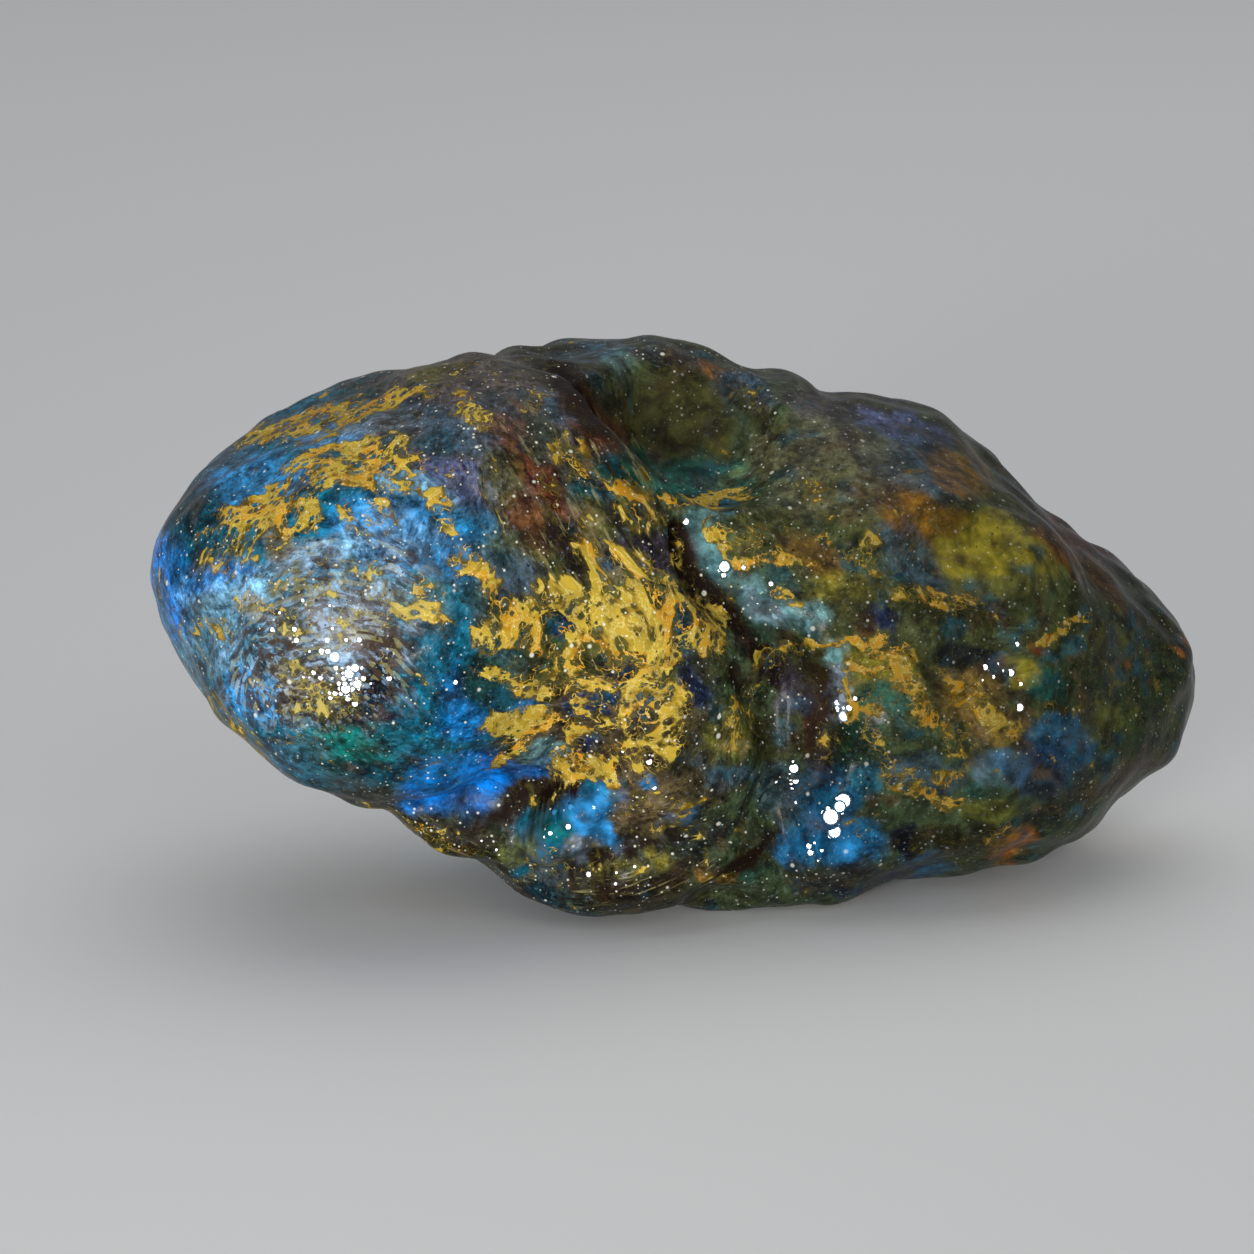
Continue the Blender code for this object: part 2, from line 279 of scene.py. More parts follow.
def globe_directions():
    """Rows run from the +X pole to the -X pole, columns go round; the two poles come last."""
    polar = np.linspace(0.0, np.pi, ROWS + 2)[1:-1, None]
    turn = np.linspace(0.0, 2.0 * np.pi, COLUMNS, endpoint=False)[None, :]
    ring = np.stack([np.cos(polar) + 0.0 * turn, np.sin(polar) * np.cos(turn),
                     np.sin(polar) * np.sin(turn)], axis=-1)
    poles = np.array([[1.0, 0.0, 0.0], [-1.0, 0.0, 0.0]])
    return np.concatenate([ring.reshape(-1, 3), poles])


def surface_points(directions):
    """Each ray's point is its start plus reach times its run; reach falls by a share of the field
    over the run's length until the field is nothing."""
    along = directions[:, :1]
    start = GUIDE_CENTRE + along * SPINE_SHARE * (np.array([GUIDE_RADII[0], 0.0, 0.0]) + SPINE_RISE)
    run = GUIDE_CENTRE + directions * GUIDE_RADII - start
    length = np.linalg.norm(run, axis=1)
    reach = np.full(len(directions), RAY_START)
    for _ in range(RAY_STEPS):
        reach -= STEP_SHARE * resin_field(start + reach[:, None] * run) / length
    return start + reach[:, None] * run


skin = surface_points(globe_directions())
print("skin from", skin.min(axis=0).round(2), "to", skin.max(axis=0).round(2), "shape units")

# %% [markdown]
# Where a wall runs almost along the rays, the grid is stretched thin.  A few rounds of evening out
# mend that: every vertex goes half way to the middle of its four neighbours, then back along the
# skin's own normal by the value of the field.

# %% Even out the grid
EVEN_ROUNDS = 5
RETURN_LIMIT = 0.4


def with_pole_rows(points):
    """The grid of vertices, with a row of the first pole before it and of the last after it."""
    first = np.broadcast_to(points[-2], (1, COLUMNS, 3))
    last = np.broadcast_to(points[-1], (1, COLUMNS, 3))
    return np.concatenate([first, points[:-2].reshape(ROWS, COLUMNS, 3), last])


def neighbour_middles(points):
    """For each vertex of the globe, the mean of the four round it; a pole takes its whole ring."""
    tall = with_pole_rows(points)
    grid = tall[1:-1]
    middle = (tall[:-2] + tall[2:] + np.roll(grid, 1, axis=1) + np.roll(grid, -1, axis=1)) / 4.0
    poles = np.stack([grid[0].mean(axis=0), grid[-1].mean(axis=0)])
    return np.concatenate([middle.reshape(-1, 3), poles])


def skin_normals(points):
    """The cross product of the run over two rows and the run over two columns, made one long; a
    pole's is the mean of its ring's."""
    tall = with_pole_rows(points)
    grid = tall[1:-1]
    columns = np.roll(grid, -1, axis=1) - np.roll(grid, 1, axis=1)
    normal = np.cross(tall[2:] - tall[:-2], columns)
    poles = np.stack([normal[0].sum(axis=0), normal[-1].sum(axis=0)])
    normal = np.concatenate([normal.reshape(-1, 3), poles])
    return normal / np.linalg.norm(normal, axis=1)[:, None]


for _ in range(EVEN_ROUNDS):
    skin = (skin + neighbour_middles(skin)) / 2.0
    travel = np.clip(resin_field(skin), -RETURN_LIMIT, RETURN_LIMIT)
    skin = skin - travel[:, None] * skin_normals(skin)
outward = skin_normals(skin)
print("largest step back to the skin:", round(float(np.abs(travel).max()), 4))

# %% [markdown]
# The camera looks at the side with the long crease, from a little above.  It is set before the
# paint, because the places of the colours were read off a picture taken from there, and a little
# perspective maths turns every vertex into a place in that picture.

# %% Work out where each vertex lies in the picture
PICTURE_SIZE = 1254
CAMERA_LENS = 129.0
CAMERA_SENSOR = 36.0
CAMERA_RISE = np.radians(14.0)
CAMERA_TARGET = np.array([-3.3, 0.0, 17.8])
CAMERA_DISTANCE = 300.0
CAMERA_BACK = np.array([0.0, -np.cos(CAMERA_RISE), np.sin(CAMERA_RISE)])
CAMERA_UP = np.array([0.0, np.sin(CAMERA_RISE), np.cos(CAMERA_RISE)])
CAMERA_PLACE = CAMERA_TARGET + CAMERA_DISTANCE * CAMERA_BACK
PIXELS_PER_UNIT = CAMERA_LENS / CAMERA_SENSOR * PICTURE_SIZE / CAMERA_DISTANCE


def picture_places(points):
    """Pixels to the right, pixels down, and shape units away from the camera past its target."""
    offset = points - CAMERA_PLACE
    away = -offset @ CAMERA_BACK
    scale = PIXELS_PER_UNIT * CAMERA_DISTANCE / away
    right = PICTURE_SIZE / 2.0 + offset[:, 0] * scale
    down = PICTURE_SIZE / 2.0 - offset @ CAMERA_UP * scale
    return right, down, away - CAMERA_DISTANCE


right, down, away = picture_places(skin)
facing = outward @ CAMERA_BACK
print("the lump spans", int(right.min()), "to", int(right.max()), "pixels across and",
      int(down.min()), "to", int(down.max()), "down")

# %% [markdown]
# Cloudy colour and fine relief need a noise that is softer and less regular than sines.  This one
# hangs random numbers on a lattice and blends the eight round each point with a smooth step.  Its
# size is the lattice's spacing.

# %% Make clouds from a lattice of random numbers
LATTICE = 32
OCTAVE_FADE = 0.55


def smooth(share):
    """A step from 0 to 1 with level ends: t * t * (3 - 2 t)."""
    share = np.clip(share, 0.0, 1.0)
    return share * share * (3.0 - 2.0 * share)


def cloud(points, size, seed):
    """Between -1 and 1: the sum over a cell's eight corners of each corner's number times the
    product of the smooth steps towards it along X, Y and Z."""
    table = np.random.default_rng(seed).uniform(-1.0, 1.0, (LATTICE, LATTICE, LATTICE))
    place = points / size
    cell = np.floor(place).astype(int)
    share = smooth(place - cell)
    total = np.zeros(len(points))
    for corner in itertools.product((0, 1), repeat=3):
        weight = np.where(np.array(corner) == 1, share, 1.0 - share).prod(axis=1)
        x, y, z = ((cell + corner) % LATTICE).T
        total += weight * table[x, y, z]
    return total


def clouds(points, size, seed, octaves=3):
    """Clouds added up, each of half the size and a little over half the strength of the last."""
    total = np.zeros(len(points))
    for octave in range(octaves):
        total += OCTAVE_FADE ** octave * cloud(points, size / 2.0 ** octave, seed + octave)
    return total


print("clouds over the skin: spread", clouds(skin, 6.0, 1).std().round(3))

# %% [markdown]
# The skin is not quite smooth between its big forms.  Two clouds of fine relief are enough, because
# most of what looks rough in the photograph is only colour.

# %% Add the fine relief
FINE_RELIEF = ((2.4, 0.028, 41), (1.2, 0.022, 43))
amber_points = skin.copy()
for size, height, seed in FINE_RELIEF:
    amber_points += (height * cloud(skin, size, seed))[:, None] * outward
print("middle move", np.median(np.linalg.norm(amber_points - skin, axis=1)).round(3), "units")

# %% [markdown]
# The real lump has beads where resin welled up, and their wet, almost flat tops catch the brightest
# glints.  A bead glints only if it faces half way between the camera and the lamp, so the lamp's
# place is settled here too, and each bead leans that way.  A bead is small beside the skin's faces,
# so it gets a body of its own, a flattened one that is half sunk into the skin.  Places, radii and
# the spread of a cluster of small beads are in pixels of the picture.

# %% List the beads
KEY_PLACE = (-0.125, -0.399, 0.061)
BEADS = {
    "nose_upper": (327, 660, 6), "nose_middle": (346, 680, 6), "nose_lower": (341, 694, 6),
    "nose_right": (356, 690, 5), "nose_foot": (350, 706, 4), "nose_top": (357, 676, 5),
    "knob_top": (840, 793, 9), "knob_left": (823, 818, 10), "knob_right": (844, 812, 7),
    "knob_low": (838, 835, 8), "knob_foot": (806, 856, 4),
    "lobe_top": (797, 776, 6), "lobe_low": (769, 805, 5), "lobe_mid": (797, 790, 4),
    "rib_upper": (837, 703, 5), "rib_lower": (837, 719, 6), "rib_top": (843, 712, 4),
    "bank_ring": (727, 573, 7), "bank_upper": (693, 526, 4), "bank_lower": (768, 617, 4),
    "crystal": (1017, 675, 5), "crystal_left": (991, 668, 4), "crystal_lower": (1024, 713, 5),
    "twin": (1021, 640, 3), "tail_left": (1109, 578, 3), "tail_right": (1116, 617, 3),
    "bubble": (570, 796, 3), "teal_bead": (461, 688, 3), "foot": (656, 768, 4),
}
CLUSTERS = {
    "nose": (346, 688, 18, 40), "nose_top": (320, 650, 40, 20), "knob": (834, 814, 19, 22),
    "knob_foot": (815, 850, 20, 6), "lobe": (784, 790, 15, 10), "rib": (838, 712, 10, 7),
    "bank": (745, 590, 30, 7), "crystal": (1010, 672, 24, 6), "foot": (620, 800, 60, 8),
    "keel": (570, 876, 80, 14),
}
print(len(BEADS), "large beads,", sum(count for *_, count in CLUSTERS.values()), "small ones")

# %% [markdown]
# The body is a squashed globe with a flat top.  With an angle a from the rim to the top, a ring's
# radius shrinks with the cube root of cos a and its height grows with the cube root of sin a.  The
# flat top is what makes a glint wide: on a round ball the same lamp would draw only a pinprick.
# Most rings lie near the top for that reason.

# %% Shape one bead
BEAD_ANGLES = np.radians([-60.0, 0.0, 40.0, 62.0, 76.0, 88.0])
BEAD_SIDES = 12
BEAD_HEIGHT = 0.17
BEAD_ASIDE = (0.3, 0.1, 1.0)


def unit(run):
    return run / np.linalg.norm(run)


def bead_body(middle, face, radius):
    """Rings of corners from under the bead to its top, and a pole at either end: radius times the
    cube root of cos a, and height times the signed cube root of sin a."""
    turn = np.linspace(0.0, 2.0 * np.pi, BEAD_SIDES, endpoint=False)
    first = unit(np.cross(face, BEAD_ASIDE))
    second = np.cross(face, first)
    spokes = np.cos(turn)[:, None] * first + np.sin(turn)[:, None] * second
    rise = BEAD_HEIGHT * np.cbrt(np.sin(BEAD_ANGLES))
    rings = np.cbrt(np.cos(BEAD_ANGLES))[:, None, None] * spokes + rise[:, None, None] * face
    poles = np.array([[-BEAD_HEIGHT], [BEAD_HEIGHT]]) * face
    return middle + radius * np.concatenate([rings.reshape(-1, 3), poles])


print("a bead has", len(bead_body(origin, CAMERA_BACK, 1.0)), "corners")

# %% [markdown]
# Each place in the picture is turned into the vertex that the camera sees there.  A small bead is
# left out where the skin turns away from the camera, because it would stand out from the lump's
# outline.  The hidden sides get a few beads as well, which sit straight on the skin.

# %% Set the beads into the skin
NEAREST_VERTICES = 24
CLUSTER_CORE = 0.6
CLUSTER_RADIUS = (1.2, 3.6)
CLUSTER_FACING = 0.35
BEAD_LEAN = 0.62
BEAD_SEED = 77
HIDDEN_BEADS = 36
HIDDEN_RADIUS = (0.12, 0.36)


def visible_vertex(x, y):
    """Of the vertices nearest to a place in the picture, the one that is nearest to the camera."""
    close = np.argsort(np.hypot(right - x, down - y))[:NEAREST_VERTICES]
    return close[np.argmin(away[close])]


def leaning(vertex):
    """The skin's direction at a vertex, leant towards half way between the camera and the lamp."""
    half_way = unit(unit(CAMERA_PLACE - skin[vertex]) + unit(lamp_place - skin[vertex]))
    lean = half_way - outward[vertex]
    return unit(outward[vertex] + lean * min(1.0, BEAD_LEAN / np.linalg.norm(lean)))


lamp_place = np.array(KEY_PLACE) / UNIT + FOOT_MIDDLE
bead_random = np.random.default_rng(BEAD_SEED)
bead_places = [(visible_vertex(x, y), radius / PIXELS_PER_UNIT) for x, y, radius in BEADS.values()]
for x, y, spread, count in CLUSTERS.values():
    for _ in range(count):
        vertex = visible_vertex(*bead_random.normal((x, y), CLUSTER_CORE * spread))
        radius = bead_random.uniform(*CLUSTER_RADIUS) / PIXELS_PER_UNIT
        if facing[vertex] > CLUSTER_FACING:
            bead_places.append((vertex, radius))
bead_faces = [leaning(vertex) for vertex, _ in bead_places]
for vertex in bead_random.choice(np.flatnonzero(facing < 0.0), HIDDEN_BEADS):
    bead_places.append((vertex, bead_random.uniform(*HIDDEN_RADIUS)))
    bead_faces.append(outward[vertex])
bead_corners = np.stack([bead_body(skin[vertex], face, radius)
                         for (vertex, radius), face in zip(bead_places, bead_faces)])
print(bead_corners.shape[0], "beads with", bead_corners.shape[1], "corners each")

# %% [markdown]
# Now the colours.  Each is a plain name and the red, green and blue that it has on a screen, which
# are turned into the linear values that light is worked out with.

# %% Mix a palette
SCREEN_WHITE = 255.0
SCREEN_GAMMA = 2.2
PALETTE = {
    "azure": (44, 124, 180), "royal": (8, 110, 196), "sky": (116, 166, 198),
    "frost": (150, 170, 192), "lilac": (76, 86, 124), "mauve": (76, 68, 68), "slate": (54, 76, 92),
    "violet": (46, 40, 50), "navy": (20, 36, 70), "ink": (14, 18, 30), "petrol": (22, 88, 128),
    "teal": (10, 84, 106), "deep_teal": (12, 60, 72), "pale_teal": (92, 134, 136),
    "emerald": (10, 92, 84), "bottle": (20, 48, 36),
    "grey_green": (56, 68, 46), "moor": (40, 50, 32), "olive": (72, 72, 36), "moss": (98, 100, 36),
    "dark_olive": (44, 42, 20), "sunlit": (124, 114, 36), "straw": (176, 168, 104),
    "beige": (122, 106, 80), "tan": (128, 102, 50), "umber": (120, 84, 24), "orange": (144, 86, 20),
    "rust": (86, 46, 24), "bark": (60, 46, 32), "dark_bark": (32, 22, 15), "dove": (112, 116, 126),
}


def linear(name):
    """(value / white) ^ gamma, for each of the colour's three parts."""
    return (np.array(PALETTE[name]) / SCREEN_WHITE) ** SCREEN_GAMMA


print(len(PALETTE), "colours; azure is", linear("azure").round(3), "in linear light")

# %% [markdown]
# The photographed side is painted the way a model maker would paint it: broad washes first, then
# smaller patches over them.  A patch is a soft-edged ellipse with a name: its middle, its long and
# short half widths, its tilt, its colour and how strongly it covers.  Clouds push its edge about,
# so no ellipse can be seen in the finished skin.

# %% List the washes and the patches of the photographed side
WASHES = {
    "whole_lump": (677, 620, 620, 330, 0, "grey_green", 1.0),
    "head": (310, 600, 230, 240, 0, "teal", 1.0),
    "flank_top": (500, 430, 120, 90, -20, "mauve", 0.9),
    "flank_middle": (580, 600, 110, 110, -40, "olive", 0.9),
    "flank_foot": (610, 760, 120, 90, 0, "bark", 0.8),
    "crown": (640, 380, 150, 50, -5, "dark_olive", 0.8),
    "saddle": (820, 480, 150, 100, -20, "grey_green", 0.9),
    "right_side": (960, 640, 190, 170, -20, "olive", 0.55),
    "tail": (1130, 700, 110, 110, 0, "moor", 0.85),
    "belly": (960, 810, 190, 70, 10, "grey_green", 0.75),
    "keel": (520, 880, 210, 50, -8, "dark_bark", 0.8),
    "keel_left": (400, 825, 90, 30, -30, "dark_olive", 0.9),
}
HEAD_PATCHES = {
    "left_rim": (172, 575, 62, 24, -76, "royal", 0.85),
    "upper_left": (205, 505, 45, 30, 40, "deep_teal", 0.85),
    "temple_blue": (258, 478, 52, 24, 10, "azure", 0.8),
    "brow_slate": (240, 440, 60, 16, 28, "slate", 0.7),
    "brow_stripe": (368, 430, 66, 13, 8, "dove", 0.6),
    "brow_azure": (330, 436, 40, 9, 8, "azure", 0.5),
    "brow_lilac": (412, 484, 48, 16, -12, "sky", 0.5),
    "great_azure": (398, 534, 74, 36, -6, "azure", 0.95),
    "azure_mist": (402, 538, 60, 26, -6, "beige", 0.20),
    "azure_right": (452, 560, 34, 26, -30, "azure", 0.75),
    "cheek_azure": (228, 588, 54, 26, 8, "sky", 0.60),
    "cheek_royal": (218, 580, 34, 14, 8, "royal", 0.80),
    "cheek_sky": (232, 592, 30, 14, 8, "sky", 0.55),
    "lilac_streak": (330, 548, 48, 10, 12, "sky", 0.8),
    "left_teal": (190, 540, 26, 50, 0, "deep_teal", 0.6),
    "frost_upper": (350, 580, 60, 34, 0, "sky", 0.55),
    "frost_middle": (330, 640, 80, 50, 0, "frost", 0.60),
    "frost_left": (230, 640, 50, 40, 0, "sky", 0.5),
    "mottle_upper": (302, 560, 44, 18, 6, "dove", 0.5),
    "mottle_small": (278, 545, 20, 12, 0, "beige", 0.6),
    "mottle_side": (255, 610, 24, 12, 0, "beige", 0.55),
    "mottle_right": (382, 612, 46, 28, 30, "beige", 0.45),
    "mottle_low": (300, 690, 52, 32, -14, "beige", 0.65),
    "jaw_blue": (250, 696, 34, 24, -24, "azure", 0.8),
    "jaw_sky": (244, 690, 18, 12, 0, "azure", 0.9),
    "jaw_dark": (222, 742, 70, 14, -48, "dark_olive", 0.6),
    "emerald": (352, 746, 60, 28, 4, "emerald", 0.95),
    "chin_blue": (300, 752, 40, 16, -20, "slate", 0.6),
    "teal_side": (432, 655, 46, 70, 0, "teal", 0.95),
    "teal_upper": (424, 600, 24, 26, 0, "pale_teal", 0.55),
    "teal_lower": (436, 730, 64, 34, 0, "teal", 0.85),
    "blue_lower": (470, 705, 34, 40, 0, "royal", 0.45),
    "dark_seam": (396, 772, 76, 10, -4, "ink", 0.6),
    "chin_royal": (468, 784, 66, 26, 8, "royal", 1.0),
    "chin_azure": (440, 772, 34, 14, 0, "petrol", 0.7),
    "chin_tail": (524, 776, 40, 9, 26, "royal", 0.9),
    "bottle_hollow": (484, 680, 26, 24, 0, "bottle", 0.95),
    "small_ink": (459, 688, 9, 16, 0, "ink", 0.8),
    "nose_brown": (380, 648, 24, 22, 0, "bark", 0.9),
    "nose_ink": (378, 684, 22, 24, 20, "ink", 1.4),
    # painted shade under the nose, where its surface turns down
    "under_nose_shade": (352, 716, 54, 12, -4, "ink", 1.0),
}
FLANK_PATCHES = {
    "mauve_crest": (455, 385, 90, 26, 4, "mauve", 0.8),
    "crest_brown": (430, 372, 60, 14, 10, "bark", 0.5),
    "crest_moss": (418, 366, 26, 12, 0, "moss", 0.4),
    "slate_band": (445, 425, 60, 20, -22, "slate", 0.75),
    "lilac_dots": (462, 478, 44, 20, -30, "lilac", 0.8),
    "azure_slip": (472, 522, 26, 20, -30, "petrol", 0.45),
    "rust_top": (512, 428, 42, 22, -50, "rust", 0.7),
    "rust_upper": (532, 474, 52, 15, -52, "rust", 0.9),
    "rust_lower": (524, 522, 34, 20, -60, "rust", 0.75),
    "rust_thread": (566, 520, 60, 8, -56, "rust", 0.85),
    "rust_deep": (560, 540, 30, 16, -60, "dark_bark", 0.8),
    "olive_upper": (498, 480, 26, 34, 0, "olive", 0.65),
    "green_hollow": (542, 438, 18, 26, 0, "bottle", 0.7),
    "slate_slip": (562, 403, 24, 14, -40, "slate", 0.85),
    "violet_slip": (520, 585, 30, 26, 0, "violet", 0.6),
    "slate_lower": (498, 572, 28, 24, 0, "slate", 0.6),
    "green_streak": (580, 478, 44, 10, -62, "bottle", 0.85),
    "teal_streak": (604, 504, 34, 12, -58, "deep_teal", 0.85),
    "grey_streaks": (596, 552, 60, 12, -58, "beige", 0.4),
    "dark_streak": (562, 555, 44, 10, -60, "dark_bark", 0.8),
    "rim_green": (646, 474, 50, 16, -28, "emerald", 0.55),
    "under_rim": (628, 520, 44, 12, -12, "dark_olive", 0.8),
    "violet_field": (644, 550, 46, 22, -12, "violet", 0.95),
    "violet_lower": (690, 640, 22, 60, 20, "violet", 0.6),
    "hollow_one": (528, 628, 20, 28, 0, "bottle", 0.9),
    "hollow_two": (556, 634, 24, 30, 0, "bottle", 0.8),
    "hollow_navy": (566, 622, 12, 12, 0, "navy", 0.9),
    "brown_window": (545, 593, 10, 18, 0, "bark", 0.9),
    "grey_window": (635, 595, 26, 10, -14, "grey_green", 0.9),
    "small_window": (672, 617, 14, 8, 0, "grey_green", 0.9),
    "slate_window": (607, 566, 9, 9, 0, "slate", 0.9),
    "navy_right": (696, 688, 14, 26, 20, "navy", 0.8),
    "navy_upper": (612, 684, 22, 20, 0, "ink", 0.9),
    "navy_middle": (580, 706, 18, 14, 0, "navy", 0.95),
    "navy_lower": (614, 704, 18, 12, 0, "navy", 0.95),
    "navy_low": (582, 746, 20, 12, 30, "navy", 0.8),
    "azure_bead": (532, 708, 14, 9, 0, "azure", 0.9),
    "teal_web": (546, 754, 22, 14, 0, "pale_teal", 0.6),
    "emerald_web": (506, 700, 20, 10, 0, "deep_teal", 0.9),
    "moss_crystals": (728, 735, 20, 26, 0, "moss", 0.8),
    "pale_crystals": (735, 745, 12, 8, 0, "straw", 0.9),
    "upper_crystals": (724, 722, 8, 8, 0, "straw", 0.7),
    "beige_foot": (640, 800, 44, 34, 0, "beige", 0.35),
    "royal_eye": (647, 786, 10, 9, 0, "petrol", 1.0),
    "azure_foot": (675, 814, 22, 12, 10, "petrol", 0.5),
    "lilac_foot": (606, 792, 12, 20, 30, "lilac", 0.6),
    "slate_foot": (736, 782, 24, 14, 0, "slate", 0.6),
    "dark_foot": (690, 838, 60, 12, 22, "ink", 0.7),
    "bubble": (560, 828, 54, 33, 36, "teal", 2.2),
    "bubble_left": (528, 842, 18, 16, 20, "slate", 0.7),
    "bubble_green": (556, 822, 26, 22, 0, "emerald", 0.55),
    "bubble_top": (570, 801, 24, 7, 14, "azure", 0.8),
    "bubble_blue": (586, 815, 18, 20, 0, "azure", 1.2),
    "bubble_edge": (601, 822, 9, 24, 12, "azure", 1.1),
    "bubble_frost": (580, 844, 18, 11, 16, "dove", 0.9),
    "bubble_mist": (572, 850, 16, 8, 10, "frost", 0.4),
    "bubble_foot": (552, 862, 22, 6, 8, "bark", 0.7),
    # painted shade in the seam over the bubble
    "shaded_seam_over_bubble": (522, 800, 64, 11, 22, "dark_bark", 1.8),
    "bubble_moss": (516, 850, 16, 10, 30, "moss", 0.7),
    # painted shade in the seam under the bubble
    "shaded_seam_under_bubble": (606, 856, 60, 6, 26, "dark_bark", 1.8),
    "keel_moss": (570, 868, 80, 6, 6, "moss", 0.5),
    "keel_dark": (540, 892, 130, 22, 2, "dark_bark", 0.95),
    "keel_slate": (505, 876, 28, 5, -14, "slate", 0.5),
    "keel_crystals": (652, 858, 24, 10, 14, "sunlit", 0.8),
    # painted shade on the keel's underside
    "keel_underside_shade": (668, 884, 34, 9, 12, "dark_bark", 0.8),
}
SADDLE_PATCHES = {
    "crown_slate": (600, 352, 60, 12, 4, "slate", 0.7),
    "crown_teal": (624, 358, 22, 12, 0, "pale_teal", 0.45),
    "crown_dark": (550, 370, 34, 10, -10, "dark_olive", 0.8),
    "crown_rust": (688, 362, 34, 10, -16, "bark", 0.6),
    # painted shade on the basin's left wall
    "basin_wall": (585, 404, 56, 18, -52, "dark_bark", 1.0),
    "basin_wall_shade_low": (598, 430, 34, 22, -50, "dark_bark", 0.9),
    "basin_floor": (672, 424, 62, 50, 0, "dark_olive", 0.95),
    "basin_warm": (672, 424, 54, 42, 0, "olive", 0.5),
    "basin_blush": (592, 418, 40, 20, -52, "rust", 0.5),
    "basin_mist": (628, 372, 24, 22, 0, "grey_green", 0.5),
    "basin_green": (706, 476, 46, 20, -6, "emerald", 0.55),
    "basin_moss": (718, 478, 24, 10, 0, "moss", 0.4),
    "basin_left_green": (620, 470, 30, 14, -30, "bottle", 0.9),
    "skyline_blue": (738, 392, 30, 18, -20, "slate", 0.9),
    "skyline_orange": (716, 366, 14, 6, -20, "orange", 0.5),
    "rim_orange": (752, 410, 12, 9, -30, "beige", 0.4),
    "rim_slate": (755, 450, 22, 40, 10, "grey_green", 0.7),
    "bank_mauve": (700, 524, 34, 12, 24, "pale_teal", 0.5),
    "bank_teal": (716, 556, 40, 17, -56, "pale_teal", 1.1),
    "bank_blue": (768, 606, 34, 17, -34, "pale_teal", 1.1),
    "bank_join": (742, 584, 26, 13, -48, "pale_teal", 0.9),
    "bank_end": (808, 614, 24, 16, -10, "pale_teal", 0.85),
    "bank_mist": (768, 606, 26, 10, -34, "frost", 0.35),
    "bank_top": (712, 506, 26, 8, 0, "teal", 0.6),
    "bank_olive": (775, 540, 50, 30, -20, "olive", 0.7),
    "bank_umber": (815, 560, 34, 20, -30, "umber", 0.55),
    "bank_sunlit": (850, 592, 44, 14, -8, "sunlit", 0.55),
    "bank_foot": (780, 640, 40, 12, -36, "bottle", 0.8),
    "skyline_mauve": (850, 410, 70, 18, -10, "mauve", 0.8),
    "skyline_lilac": (905, 424, 50, 16, -16, "lilac", 0.9),
    "slope_slate": (905, 470, 60, 34, -20, "slate", 0.8),
    "slope_teal": (832, 455, 60, 40, 0, "grey_green", 0.7),
    "slope_mist": (830, 470, 90, 50, -15, "beige", 0.28),
    "slope_umber": (925, 520, 50, 28, -20, "umber", 1.0),
    "slope_orange": (958, 470, 30, 22, -40, "umber", 0.7),
    "valley_slate": (915, 560, 44, 26, -40, "slate", 0.65),
    "valley_dark": (955, 545, 20, 20, -40, "dark_olive", 0.9),
    "swell": (1000, 555, 62, 44, -10, "sunlit", 0.9),
    "swell_left": (985, 535, 30, 22, 0, "sunlit", 0.7),
    "swell_green": (1020, 590, 50, 20, -10, "grey_green", 0.6),
    "swell_orange": (1060, 540, 30, 18, -40, "umber", 0.7),
    "skyline_rust": (1060, 512, 110, 20, -42, "dark_bark", 0.85),
    "skyline_umber": (1085, 562, 60, 14, -46, "rust", 0.55),
    "tail_top": (1180, 640, 40, 16, -50, "dark_olive", 0.7),
}
